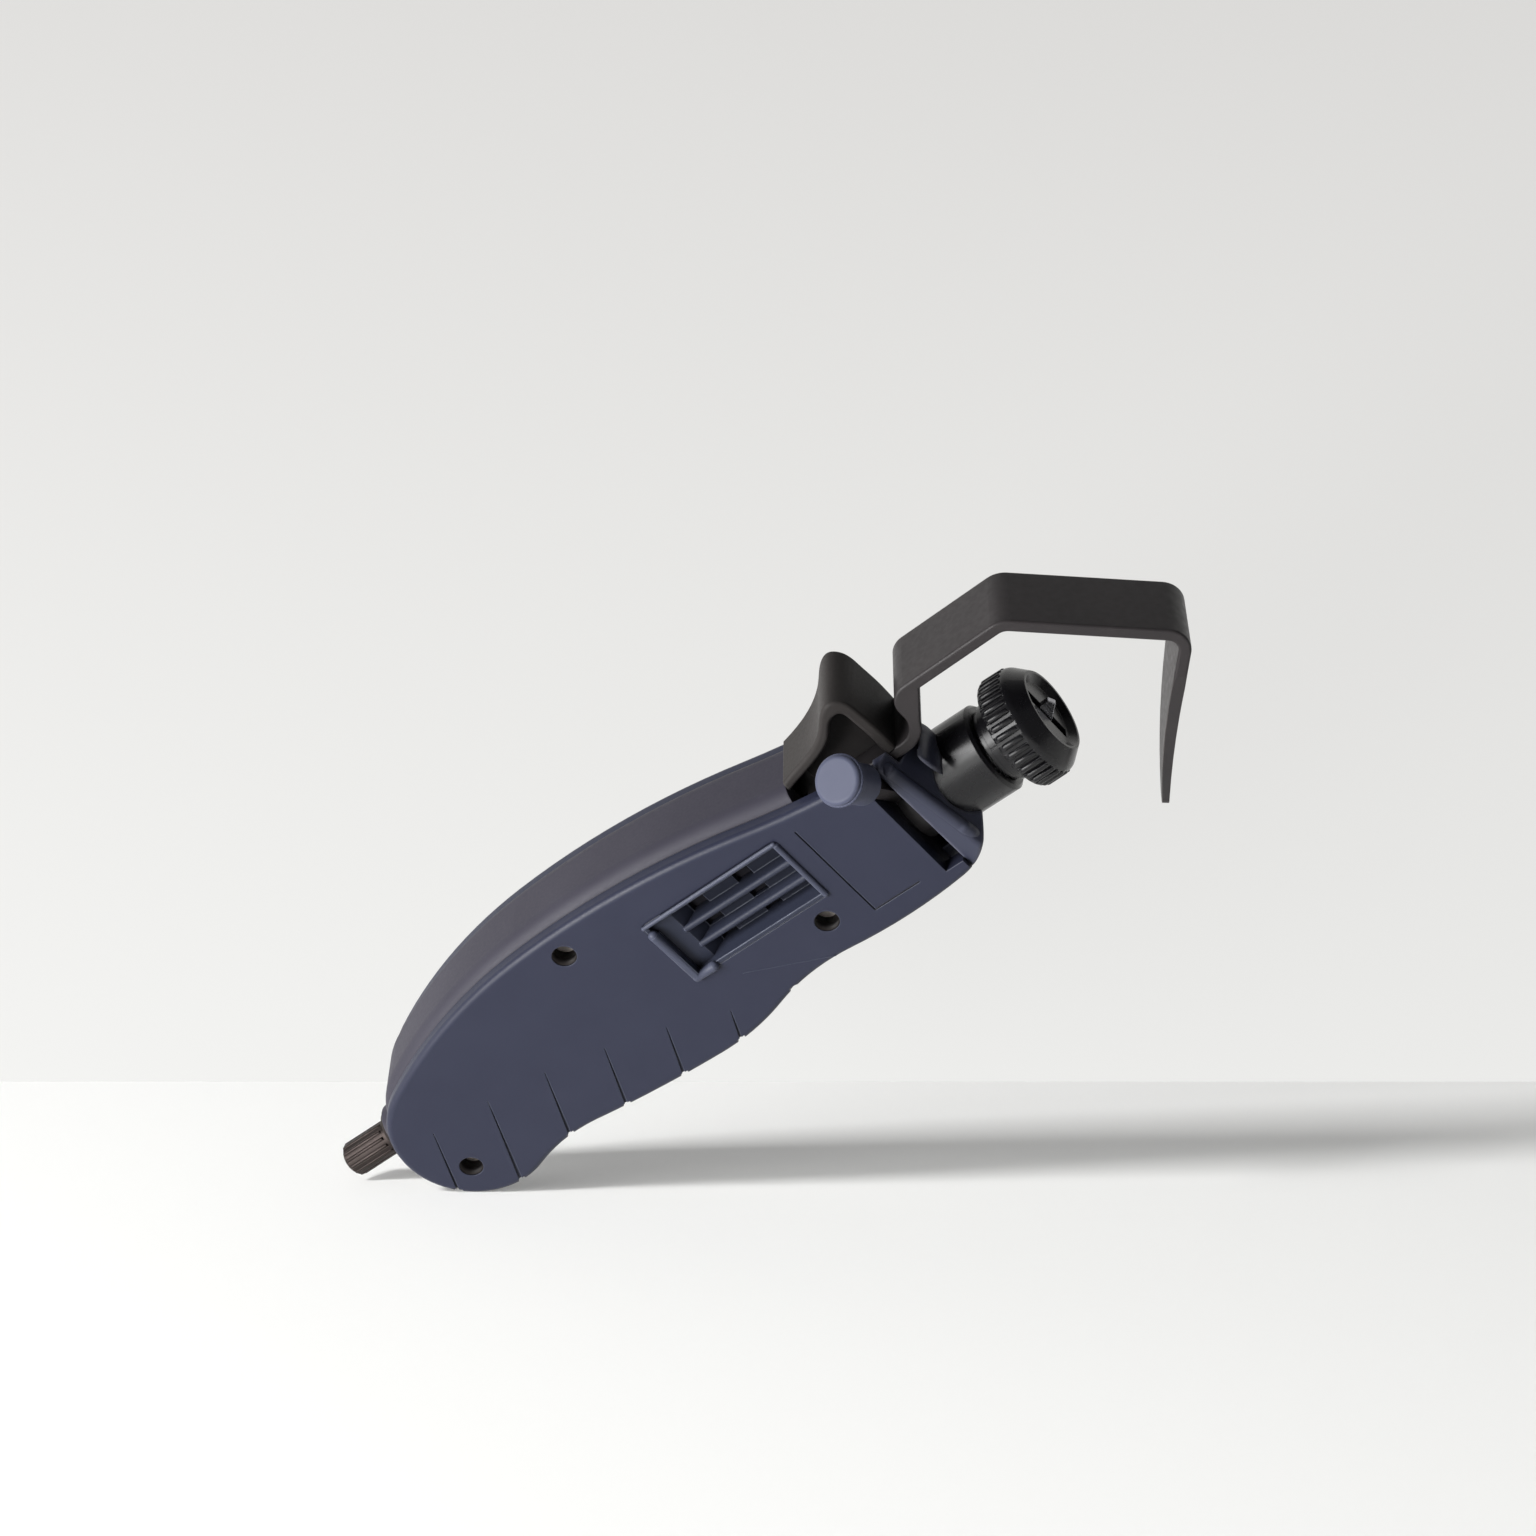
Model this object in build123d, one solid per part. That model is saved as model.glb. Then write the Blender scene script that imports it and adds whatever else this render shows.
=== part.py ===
"""Hook-jaw cable sheath stripper: palm handle, sprung V hook, swivelling blade head and depth screw.

X runs from the tail knob to the hook, Y to the thumb side, Z up from the flat right cover that it lies on.
The spindle axis lies along X at y = 0, half way up the handle.
"""
import os
from math import radians, sin

from build123d import *

os.makedirs("parts", exist_ok=True)

FAR = 200.0             # longer than the whole tool, for cuts that go right through
PRESS = 0.01            # clearance of a pressed joint
FIT = 0.05              # running clearance on a radius
EASE = 0.1              # clearance of a post in its hole
GAP = 0.3               # clearance between pieces that move past each other

# Handle
THICK = 22.0            # over both covers
PLATE = 3.0             # thickness of each cover
AXIS_Z = THICK / 2
TAIL_X = -66.0          # rearmost point of the covers
COVER_END_X = 54.1      # the left cover stops here, behind the lever gap
NOSE_REAR_X = 57.9      # rear face of the nose block
NOSE_X = 66.0           # front face of the nose block
NOSE_ROUND = 5.0        # lower front edge
RIDGE_X = 60.9          # the nose's upper edge is a ridge that crosses the spindle axis here
RIDGE_LEAN = 0.14       # how far the ridge moves back for each millimetre towards the thumb side
RIDGE_FALL = (1.25, 9.0)  # drop of the slopes behind and in front of the ridge
RIDGE_RUN = (5.0, 6.0)  # length of the same slopes
RIDGE_ROUND = 0.9
SLOT_END_Y = -9.2       # the lever's slot is closed on the belly side
LIP_ROUND = 1.2
SPINE_RISE = 1.6        # the dark spine stands this far outside the covers' edge
SPINE_SHIFT = 1.3       # and is set forward by this, so that it is all but flush at the butt
SPINE_ROUND = 3.5
CORE_FRONT_X = 53.9
TENON_X = 48.0          # the nose block's tenon reaches back to here
TENON_Y = (-11.6, -8.5)
TENON_Z = (6.0, 16.0)

# Hook slide
CHANNEL_Y = 12.4        # floor of the channel that the hook strap runs in
STRAP_T = 2.2
STRAP_W = 15.0
STRAP_EDGE = 0.5
STRAP_LOW_Y = CHANNEL_Y + GAP
STRAP_Y = STRAP_LOW_Y + STRAP_T / 2
STRAP_TOP_Y = STRAP_LOW_Y + STRAP_T
TAIL_W = 7.2            # narrow tail of the strap, inside the spine
TAIL_END_X = 6.5
ROOF_END_X = 41.5       # the spine covers the channel up to here
KNEE_X = 68.2
GUSSET_Y = 15.6         # the gusset in the knee starts here
GUSSET_REACH = 5.5
BENDS = [5.0, 2.9, 3.6, 3.2]  # knee, plate's rear, plate's front and apex
PLATE_Y = 22.9
PLATE_FRONT = (91.2, 23.3)
APEX = (113.7, 2.0)
LEG_TOP = (109.5, -2.3)
LEG_TIP = (88.0, -28.0)
LEG_LENGTH = 39.5
LEG_FULL = 8.0          # the lower leg keeps its full width up to here
TIP_W = 3.4
TIP_T = 1.2             # the lower leg thins to this
TUNNEL_TOP_Y = 18.0
CARRIAGE_X = (TAIL_END_X, 18.0)
CARRIAGE_TOP_Y = 17.5
CARRIAGE_PINS_X = (9.0, 15.0)
SLIDER_PINS_X = (48.5, 55.5)
PIN_R = 1.0
SLIDER_SCREW = 6.0      # length of the slider's screws
RIVET = 4.4             # length of the carriage's rivets

# Return spring
SPRING_Y = 13.2
SPRING_R = 2.6
SPRING_WIRE = 0.8
ANCHOR_X = -36.0
ANCHOR_R = 1.2
SPRING_BORE_END = 4.0   # the spring's bore runs this far past the anchor pin

# Thumb slider
SLIDER_REAR_X = 42.1
SLIDER_WEB_X = (45.5, 60.0)
SLIDER_WEB_W = 6.0
SLIDER_EDGE = 0.7

# Blade head
BARREL_R = 8.4
BARREL_SEAT_X = 62.2    # shoulder of the barrel, deep in the nose block
BARREL_FRONT_X = 72.6
SPIGOT_R = 7.25
CARRIER_R = 6.1
CARRIER_NOSE_R = 5.6
CARRIER_REAR_X = 50.2
PLUNGER_SIDE = 7.0
KNOB_R = 10.35
KNOB_REAR_X = 76.1
KNOB_RIM_X = 81.6
KNOB_FRONT_X = 84.6
KNOB_FACE_R = 7.8
KNOB_BORE_END_X = 80.9
KNURLS = 36
COLLAR_R = 7.4
BLADE_REAR_X = 71.2
BLADE_TIP_X = 86.0
BLADE_HALF = 2.2        # half the blade's height
BLADE_T = 1.1
BLADE_SCREW_X = 74.0
BLADE_SCREW_Z = (AXIS_Z - 2.8, AXIS_Z + 3.3)
BLADE_SLANT = 3.4       # length of the slanted edge along the blade

# Direction lever
LEVER_REST_DEG = 40.5   # from +Y towards +Z
LEVER_X = 55.9
ARM_T = 2.8             # along X
ARM_W = 2.8
ARM_END = 21.5          # end of the arm from the spindle axis
RING_R = 7.5
BUTTON_R = 4.3
BUTTON_STEM_R = 3.6
BUTTON_OUT = 30.4       # face of the button from the spindle axis

# Depth screw
SPINDLE_R = 2.0
SPINDLE_FRONT_X = 68.5
TAIL_KNOB_R = 3.3
TAIL_KNOB_X = (-80.0, -68.8)
TAIL_KNOB_WEB = 2.0     # closed end of the tail knob
SPLINES = 14
BUSH_R = 4.25
BUSH_X = (-67.6, -60.0)
THRUST_X = (-59.7, -56.3)
BOSS_R = 5.4

# Blade rack, the ribbed insert in the left cover
RACK_X = (5.0, 35.4)
RACK_Y = (-0.3, 14.8)
RACK_CORNER = 1.2
RACK_FLOOR_Z = 15.9
RACK_FLOOR_T = 1.2
RACK_WALL = 0.9
RACK_RIM = 0.5          # two edges stand this far out of the cover
RACK_RIBS_Y = (3.9, 8.2)
RACK_RIB_W = 0.9
RACK_RIB_X = 9.8        # rear end of the ribs, on the ramp
RACK_SLOTS_X = (13.9, 24.0)
RACK_SLOTS_Y = (1.9, 5.7, 9.9)
RACK_SLOT = (3.4, 2.6)
CATCH = (1.6, 4.5)      # width and length of the corner catch
CATCH_RISE = 0.8
RACK_RIB_TOP_Z = 20.2

# Case screws: centres in X and Y
SCREWS = ((-9.6, 18.3), (31.2, -4.8), (-56.3, -8.3))
SCREW_SEAT_Z = 16.5
SCREW_HEAD_R = 2.1
SCREW_HEAD_H = 1.7
SCREW_SHANK_R = 1.4
SCREW_FOOT_Z = 2.0
WELL_R = 3.4            # outside of the tube round each screw
WELL_LOW_Z = 15.0
POST_R = 3.2            # post on the right cover that takes the screw
POST_TOP_Z = 8.2

# Grip grooves across the belly
GROOVE_FIRST_X = -63.5
GROOVE_PITCH = 13.27
GROOVES = 7
GROOVE_LEAN_DEG = 24.5
GROOVE_LOW_Y = -20.0

SPIN = Axis((0, 0, AXIS_Z), (1, 0, 0))
ACROSS = Plane(origin=(0, 0, AXIS_Z), x_dir=(0, 1, 0), z_dir=(1, 0, 0))
MIDDLE = Plane.XY.offset(AXIS_Z)


def rod(x0, x1, radius, y=0.0):
    """A round bar along X, at height y above the spindle axis."""
    return extrude(ACROSS.offset(x0) * Pos(y, 0) * Circle(radius), x1 - x0)


def block(x, y, z):
    """A box from three (low, high) pairs."""
    size = Box(x[1] - x[0], y[1] - y[0], z[1] - z[0], align=(Align.MIN, Align.MIN, Align.MIN))
    return Pos(x[0], y[0], z[0]) * size


def between(middle, width):
    """The (low, high) pair of a width about its middle."""
    return middle - width / 2, middle + width / 2


def slab(face, z0, z1):
    """A flat outline raised from z0 to z1."""
    return Pos(0, 0, z0) * extrude(face, z1 - z0, dir=(0, 0, 1))


def rounded(points, rounds):
    """A flat shape through points; each (number, radius) pair rounds the corner at one of them."""
    shape = make_face(Polyline(*points, close=True))
    for number, radius in rounds:
        shape = fillet(shape.vertices().sort_by_distance(points[number])[0], radius)
    return shape


def turned(*points, rounds=()):
    """A turned piece about the spindle axis, from (x, radius) points."""
    return revolve(Pos(0, 0, AXIS_Z) * rounded(points, rounds), SPIN)


def ring(x, inner_r, outer_r):
    """A plain ring about the spindle axis."""
    return turned((x[0], inner_r), (x[1], inner_r), (x[1], outer_r), (x[0], outer_r))


def post(x, y, radius, z0, z1):
    """A round post along Z."""
    return slab(Pos(x, y) * Circle(radius), z0, z1)


def upright(x, y, radius, height):
    """A round post along Y, in the middle of the handle's thickness."""
    return extrude(Plane(origin=(x, y, AXIS_Z), z_dir=(0, 1, 0)) * Circle(radius), height)


def about_spindle(shape, degrees):
    """A piece made at z = 0 along the X axis, set on the spindle axis and turned about it."""
    return Pos(0, 0, AXIS_Z) * Rot(degrees, 0, 0) * shape


def handle_outline():
    """The handle seen from its side: a palm swell on top, two finger hollows below, a rounded butt.

    Each arc runs on from the one before, and the last one meets the straight front.
    """
    brow = (NOSE_X, 9.8)
    back = [(60.3, 15.65), (32.1, 19.15), (-17.9, 23.0), (-56.7, 12.65)]
    butt = [(TAIL_X, -2.6), (-58.9, -15.0), (-46.1, -16.35)]
    belly = [(-30.6, -14.7), (-2.8, -16.85), (12.9, -14.45), (30.5, -12.55), (55.6, -12.3)]
    arcs = []
    start, heading = brow, (0, 1)
    for end in back + butt + belly:
        arc = TangentArc(start, end, tangent=heading)
        arcs.append(arc)
        start, heading = arc @ 1, arc % 1
    chin = DoubleTangentArc(start, heading, Line((NOSE_X, GROOVE_LOW_Y), brow))
    return make_face([*arcs, chin, Line(chin @ 1, brow)])


def nose_side():
    """The room that the nose may fill: a round lower front edge and a slanted ridge on top."""
    side = block((-FAR, NOSE_X), (-FAR, FAR), (0, THICK))
    front = side.edges().filter_by(Axis.Y).group_by(Axis.X)[-1]
    side = fillet(front.sort_by(Axis.Z)[0], NOSE_ROUND)
    ridge = Plane(origin=(RIDGE_X, 0, THICK), x_dir=(1, RIDGE_LEAN, 0), z_dir=(RIDGE_LEAN, -1, 0))
    above = 4.0
    slopes = [
        (0, 0),
        (RIDGE_RUN[1], -RIDGE_FALL[1]),
        (RIDGE_RUN[1], above),
        (-RIDGE_RUN[0], above),
        (-RIDGE_RUN[0], -RIDGE_FALL[0]),
    ]
    return side - extrude(ridge * rounded(slopes, [(0, RIDGE_ROUND)]), FAR, both=True)


def belly_bars(low_w, top_w, reach):
    """Slanted bars that mark the grip grooves, each from below the belly up to its own height."""
    highest = 3.2
    lowest = -12.0
    fall = 0.5
    belly_y = -14.5
    bars = Sketch()
    for i in range(GROOVES):
        top = max(highest - fall * i * i, lowest)
        half = (top - GROOVE_LOW_Y) / 2
        middle = GROOVE_LOW_Y + half
        shift = (middle - belly_y) * sin(radians(GROOVE_LEAN_DEG))
        bar = rounded([(-low_w / 2, -half), (low_w / 2, -half), (top_w / 2, half), (-top_w / 2, half)], ())
        bars += Pos(GROOVE_FIRST_X + GROOVE_PITCH * i + shift, middle) * Rot(0, 0, -GROOVE_LEAN_DEG) * bar
    return slab(bars, *reach)


def cover_plate():
    """One cover, lying with its outer face up at z = THICK, before it is cut to length."""
    notch_w = 1.6
    notch_depth = 0.9
    line_w = (0.7, 0.1)
    line_depth = 0.35
    outline = handle_outline()
    plate = slab(outline, THICK - PLATE, THICK)
    plate = fillet(plate.faces().sort_by(Axis.Z)[-1].edges(), LIP_ROUND)
    notches = belly_bars(notch_w, notch_w, (THICK - PLATE, THICK))
    notches -= slab(offset(outline, -notch_depth), 0, THICK)
    return plate - notches - belly_bars(*line_w, (THICK - line_depth, THICK))


def rack_plan(margin):
    """The rounded rectangle of the rack, larger or smaller by a margin on each side."""
    length = RACK_X[1] - RACK_X[0] + 2 * margin
    width = RACK_Y[1] - RACK_Y[0] + 2 * margin
    return Pos(sum(RACK_X) / 2, sum(RACK_Y) / 2) * RectangleRounded(length, width, RACK_CORNER + margin)


def left_cover():
    """The upper cover, with the rack window, the head panel's outline and three screw wells."""
    cover = cover_plate() & block((-FAR, NOSE_REAR_X - 2 * FIT), (-FAR, FAR), (0, THICK))
    cover -= block((COVER_END_X, FAR), (SLOT_END_Y, FAR), (0, THICK))
    cover -= slab(rack_plan(FIT), 0, THICK)
    groove = 0.3
    panel_x = (39.2, 49.2)
    panel_y = (-8.2, 13.9)
    depth = (THICK - groove, THICK)
    cover -= block((panel_x[0], panel_x[0] + groove), panel_y, depth)
    cover -= block(panel_x, (panel_y[0], panel_y[0] + groove), depth)
    for x, y in SCREWS:
        cover += post(x, y, WELL_R, WELL_LOW_Z, THICK - PLATE)
        cover -= post(x, y, SCREW_HEAD_R + 3 * FIT, SCREW_SEAT_Z, THICK)
        cover -= post(x, y, SCREW_SHANK_R + 3 * FIT, 0, THICK)
    return cover


def right_cover():
    """The lower cover, plain outside, with blind posts for the screws."""
    cover = mirror(cover_plate(), MIDDLE)
    cover &= block((-FAR, NOSE_REAR_X), (-FAR, FAR), (0, THICK))
    hole_z = SCREW_FOOT_Z - GAP
    for x, y in SCREWS:
        cover += post(x, y, POST_R, PLATE, POST_TOP_Z)
        cover -= post(x, y, SCREW_SHANK_R + FIT, hole_z, THICK)
    return cover


def core_frame():
    """The dark spine between the covers: hook channel, spring bore, spindle bore and tail boss."""
    core = Pos(SPINE_SHIFT, 0) * slab(offset(handle_outline(), SPINE_RISE), PLATE, THICK - PLATE)
    core = fillet(core.faces().filter_by(Axis.Z).edges(), SPINE_ROUND)
    boss_root_x = -55.0
    core += rod(BUSH_X[0], boss_root_x, BOSS_R)
    core &= block((-FAR, CORE_FRONT_X), (-FAR, FAR), (0, THICK))
    runout_x = (38.0, 56.0)
    runout_y = (-14.1, -12.3)
    runout = [*zip(runout_x, runout_y), (runout_x[1], -FAR), (runout_x[0], -FAR)]
    core -= slab(rounded(runout, ()), 0, THICK)
    core -= rod(-FAR, FAR, SPINDLE_R + GAP)
    core -= rod(-FAR, THRUST_X[1] + GAP, BUSH_R + PRESS)
    core -= rod(CARRIER_REAR_X - GAP, FAR, CARRIER_R + FIT)
    core -= block((ROOF_END_X, FAR), (CHANNEL_Y, FAR), (0, THICK))
    tunnel_x = (TAIL_END_X - 5 * GAP, FAR)
    core -= block(tunnel_x, (CHANNEL_Y, TUNNEL_TOP_Y), between(AXIS_Z, TAIL_W + 2 * GAP))
    core -= rod(ANCHOR_X - SPRING_BORE_END, TAIL_END_X, SPRING_R + GAP + EASE, SPRING_Y)
    core -= post(ANCHOR_X, SPRING_Y, ANCHOR_R + FIT, 0, THICK)
    core -= slab(rack_plan(FIT), RACK_FLOOR_Z, THICK)
    core -= block((TENON_X, FAR), TENON_Y, TENON_Z)
    for x, y in SCREWS:
        core -= post(x, y, WELL_R + EASE, WELL_LOW_Z - EASE, THICK)
        core -= post(x, y, POST_R + EASE, 0, POST_TOP_Z + EASE)
        core -= post(x, y, SCREW_SHANK_R + GAP, 0, THICK)
    return core


def nose_block():
    """The blue front wall, with the barrel's bore, a cheek beside the strap and a tenon into the spine."""
    nose = slab(handle_outline(), 0, THICK)
    nose = fillet(nose.faces().sort_by(Axis.Z)[-1].edges(), LIP_ROUND) & nose_side()
    nose &= block((NOSE_REAR_X, FAR), (-FAR, FAR), (0, THICK))
    nose -= block((0, FAR), (CHANNEL_Y, FAR), (0, THICK - PLATE + EASE))
    far_side = block((0, FAR), (0, FAR), (0, AXIS_Z)) - rod(0, BARREL_SEAT_X, BARREL_R + GAP + EASE)
    nose -= far_side
    nose -= rod(0, FAR, SPIGOT_R + PRESS) + rod(BARREL_SEAT_X - PRESS, FAR, BARREL_R + PRESS)
    return nose + block((TENON_X, NOSE_REAR_X), TENON_Y, TENON_Z)


def barrel():
    """The glossy black barrel, a flanged bush pressed into the nose block."""
    edge = 0.6
    rear_x = NOSE_REAR_X + GAP
    return turned(
        (rear_x, CARRIER_R + FIT),
        (BARREL_FRONT_X, CARRIER_R + FIT),
        (BARREL_FRONT_X, BARREL_R - edge),
        (BARREL_FRONT_X - edge, BARREL_R),
        (BARREL_SEAT_X, BARREL_R),
        (BARREL_SEAT_X, SPIGOT_R),
        (rear_x, SPIGOT_R),
    )


def wave_washer():
    """A spring washer between the lever's ring and the barrel."""
    thick = 0.4
    front_x = NOSE_REAR_X + GAP
    return ring((front_x - thick, front_x), CARRIER_R + GAP, SPIGOT_R - EASE)


def blade_rack():
    """The ribbed tray in the window: ramp, two long ribs, six floor slots, two rims and a corner catch."""
    x0, x1 = RACK_X
    y0, y1 = RACK_Y
    floor_top = RACK_FLOOR_Z + RACK_FLOOR_T
    catch_z = (THICK - RACK_WALL, THICK + CATCH_RISE)
    rim_z = (floor_top, THICK + RACK_RIM)
    rack = slab(rack_plan(-FIT / 2), RACK_FLOOR_Z, THICK) - slab(rack_plan(-RACK_WALL), floor_top, THICK)
    for y in RACK_RIBS_Y:
        rack += block((RACK_RIB_X, x1), between(y, RACK_RIB_W), (RACK_FLOOR_Z, RACK_RIB_TOP_Z))
    ramp = Polyline((x0, THICK - RACK_WALL), (RACK_RIB_X, floor_top), (x0, floor_top), close=True)
    rack += extrude(Plane.XZ.offset(-y0) * make_face(ramp), y0 - y1)
    for y in RACK_SLOTS_Y:
        for x in RACK_SLOTS_X:
            rack -= block(between(x, RACK_SLOT[0]), between(y, RACK_SLOT[1]), (0, floor_top))
    rack += block((x0 + CATCH[1], x1), (y1 - RACK_WALL, y1), rim_z)
    rack += block((x1 - RACK_WALL, x1), RACK_Y, rim_z)
    rack += block((x0, x0 + CATCH[0]), (y0, y1 - 2 * CATCH[0]), catch_z)
    rack += block((x0, x0 + CATCH[1]), (y0, y0 + RACK_WALL), catch_z)
    return rack & slab(rack_plan(-FIT / 2), RACK_FLOOR_Z, catch_z[1])


def case_screws():
    """Three pan-head screws, deep in their wells."""
    drive_r = 0.8
    drive_depth = 0.9
    top_z = SCREW_SEAT_Z + SCREW_HEAD_H
    screws = []
    for x, y in SCREWS:
        screw = post(x, y, SCREW_HEAD_R, SCREW_SEAT_Z, top_z)
        screw += post(x, y, SCREW_SHANK_R, SCREW_FOOT_Z, SCREW_SEAT_Z)
        screw -= post(x, y, drive_r, top_z - drive_depth, top_z)
        screws.append(screw.solid())
    return Compound(children=screws)


def tail_bush():
    """A flanged bush that carries the spindle at the tail."""
    lip = 0.4
    flange_x = BUSH_X[0] - 0.9
    return turned(
        (flange_x, SPINDLE_R + FIT),
        (BUSH_X[1], SPINDLE_R + FIT),
        (BUSH_X[1], BUSH_R),
        (BUSH_X[0], BUSH_R),
        (BUSH_X[0], BUSH_R + 2 * lip),
        (flange_x, BUSH_R + lip),
    )


def spring_anchor_pin():
    """The cross pin that holds the fixed end of the return spring."""
    short = PLATE + 1.0
    return post(ANCHOR_X, SPRING_Y, ANCHOR_R, short, THICK - short)


def return_spring():
    """The extension spring that draws the hook shut, as the sleeve that its coils fill."""
    x = (ANCHOR_X + ANCHOR_R + 2 * EASE, TAIL_END_X - GAP)
    return rod(*x, SPRING_R, SPRING_Y) - rod(*x, SPRING_R - SPRING_WIRE, SPRING_Y)


def hook():
    """The strap hook: a tail in the spine, a stiffened knee, a plate, and a V with a tapered lower leg."""
    run = FilletPolyline(
        (TAIL_END_X, STRAP_Y),
        (KNEE_X, STRAP_Y),
        (KNEE_X, PLATE_Y),
        PLATE_FRONT,
        APEX,
        LEG_TOP,
        radius=BENDS,
    )
    gusset = [
        (KNEE_X, GUSSET_Y),
        (KNEE_X + GUSSET_REACH, PLATE_Y),
        (KNEE_X + STRAP_T, PLATE_Y),
        (KNEE_X, PLATE_Y - STRAP_T),
    ]
    side = trace(run, STRAP_T) + lower_leg(run @ 1, run % 1) + rounded(gusset, ())
    strap = slab(side, *between(AXIS_Z, STRAP_W))
    strap = fillet(strap.faces().filter_by(Axis.Z).edges(), STRAP_EDGE)
    waist_x = ROOF_END_X + 1.5
    tail_side = block((0, waist_x), (0, FAR), (0, AXIS_Z - TAIL_W / 2))
    strap -= tail_side + mirror(tail_side, MIDDLE)
    strap -= leg_taper()
    for x in CARRIAGE_PINS_X + SLIDER_PINS_X:
        strap -= upright(x, CHANNEL_Y, PIN_R + FIT, 2 * STRAP_T)
    return strap


def lower_leg(start, heading):
    """The side view of the lower leg, which runs on from the strap and thins to its tip."""
    root = Vector(0, 0, 1).cross(heading) * (STRAP_T / 2)
    end = Vector(*LEG_TIP)
    tip = Vector(0, 0, 1).cross((end - start).normalized()) * (TIP_T / 2)
    outer = TangentArc(start + root, end + tip, tangent=heading)
    inner = TangentArc(start - root, end - tip, tangent=heading)
    return make_face([outer, Line(outer @ 1, inner @ 1), inner, Line(inner @ 0, outer @ 0)])


def leg_taper():
    """What is cut from the lower leg: both edges slant in to a narrow rounded tip."""
    along = (Vector(*LEG_TIP) - Vector(*APEX)).normalized()
    leg = Plane(origin=(*APEX, AXIS_Z), x_dir=along, z_dir=along.cross(Vector(0, 0, 1)))
    tip = Pos(LEG_LENGTH - TIP_W / 2, 0) * Circle(TIP_W / 2)
    kept = make_face(
        Polyline(
            (LEG_FULL, STRAP_W / 2),
            (LEG_LENGTH - TIP_W / 2, TIP_W / 2),
            (LEG_LENGTH - TIP_W / 2, -TIP_W / 2),
            (LEG_FULL, -STRAP_W / 2),
            close=True,
        )
    )
    sides = Pos(LEG_FULL, 0) * Rectangle(FAR, 2 * STRAP_W, align=(Align.MIN, Align.CENTER))
    return extrude(leg * (sides - kept - tip), LEG_FULL, both=True)


def slider_section(points):
    """A filled side view of the slider: a curve from the rear foot over the crest to the strap."""
    top = Spline(*points, (points[-1][0] - 0.1, STRAP_TOP_Y))
    return make_face([top, Polyline(top @ 1, (SLIDER_REAR_X, STRAP_TOP_Y), top @ 0)])


def thumb_slider():
    """The thumb slider, a flared shell over a web that is screwed to the strap."""
    outside = slider_section(
        [
            (SLIDER_REAR_X, 20.5),
            (46.0, 21.6),
            (50.6, 23.3),
            (54.2, 25.8),
            (56.9, 28.5),
            (59.2, 29.4),
            (61.1, 28.0),
            (62.0, 24.0),
            (62.3, 19.0),
        ]
    )
    inside = slider_section(
        [
            (SLIDER_REAR_X, 18.5),
            (46.6, 19.7),
            (51.6, 21.6),
            (55.4, 24.2),
            (57.7, 26.4),
            (59.1, 26.5),
            (59.9, 24.0),
            (60.2, 19.0),
        ]
    )
    shell = slab(outside - inside, *between(AXIS_Z, THICK))
    edge = Spline((SLIDER_REAR_X, 6.5), (50.0, 6.8), (58.5, 7.9), (62.6, 7.3))
    half = make_face([edge, Polyline(edge @ 1, (62.6, 0), (SLIDER_REAR_X, 0), edge @ 0)])
    flare = extrude(Plane.XZ * Pos(0, AXIS_Z) * half, -FAR)
    shell &= flare + mirror(flare, MIDDLE)
    long_edges = shell.edges().filter_by(lambda edge: edge.length > SLIDER_WEB_X[1] - SLIDER_REAR_X)
    shell = fillet(long_edges, SLIDER_EDGE)
    web = slab(outside, *between(AXIS_Z, SLIDER_WEB_W)) & block(SLIDER_WEB_X, (0, FAR), (0, THICK))
    slider = shell + web
    for x in SLIDER_PINS_X:
        slider -= upright(x, STRAP_TOP_Y, PIN_R + FIT, SLIDER_SCREW - STRAP_T + 4 * GAP)
    return slider


def strap_pins(places, length):
    """Small round fasteners put up through the strap from below, as separate solids."""
    return Compound(children=[upright(x, STRAP_LOW_Y, PIN_R, length).solid() for x in places])


def slider_screws():
    """Two screws that hold the slider's web to the strap."""
    return strap_pins(SLIDER_PINS_X, SLIDER_SCREW)


def carriage_rivets():
    """Two rivets that hold the carriage to the strap's tail."""
    return strap_pins(CARRIAGE_PINS_X, RIVET)


def hook_carriage():
    """The block on the strap's tail that runs in the spine and takes the pull of the spring."""
    carriage = block(CARRIAGE_X, (STRAP_TOP_Y, CARRIAGE_TOP_Y), between(AXIS_Z, TAIL_W))
    edge = 0.6
    carriage = chamfer(carriage.edges().filter_by(Axis.Z), edge)
    for x in CARRIAGE_PINS_X:
        carriage -= upright(x, STRAP_TOP_Y, PIN_R + FIT, RIVET)
    return carriage


def carrier_tube():
    """The turning tube in the barrel, square inside for the plunger, with a nose for collar and knob."""
    nose_end_x = KNOB_REAR_X + 2.0
    square_rear_x = NOSE_REAR_X - 6.0
    shoulder_x = BARREL_FRONT_X + 2 * EASE
    tube = turned(
        (CARRIER_REAR_X, 0),
        (nose_end_x, 0),
        (nose_end_x, CARRIER_NOSE_R),
        (shoulder_x, CARRIER_NOSE_R),
        (shoulder_x, CARRIER_R),
        (CARRIER_REAR_X, CARRIER_R),
    )
    square = PLUNGER_SIDE + 2 * FIT
    tube -= block((square_rear_x, FAR), between(0, square), between(AXIS_Z, square))
    return tube - rod(0, FAR, SPINDLE_R + GAP)


def lever_bar(start, end):
    """The lever's flat bar along +Y from the spindle axis, before it is turned to its rest angle."""
    return block(between(LEVER_X, ARM_T), (start, end), between(0, ARM_W))


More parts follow.
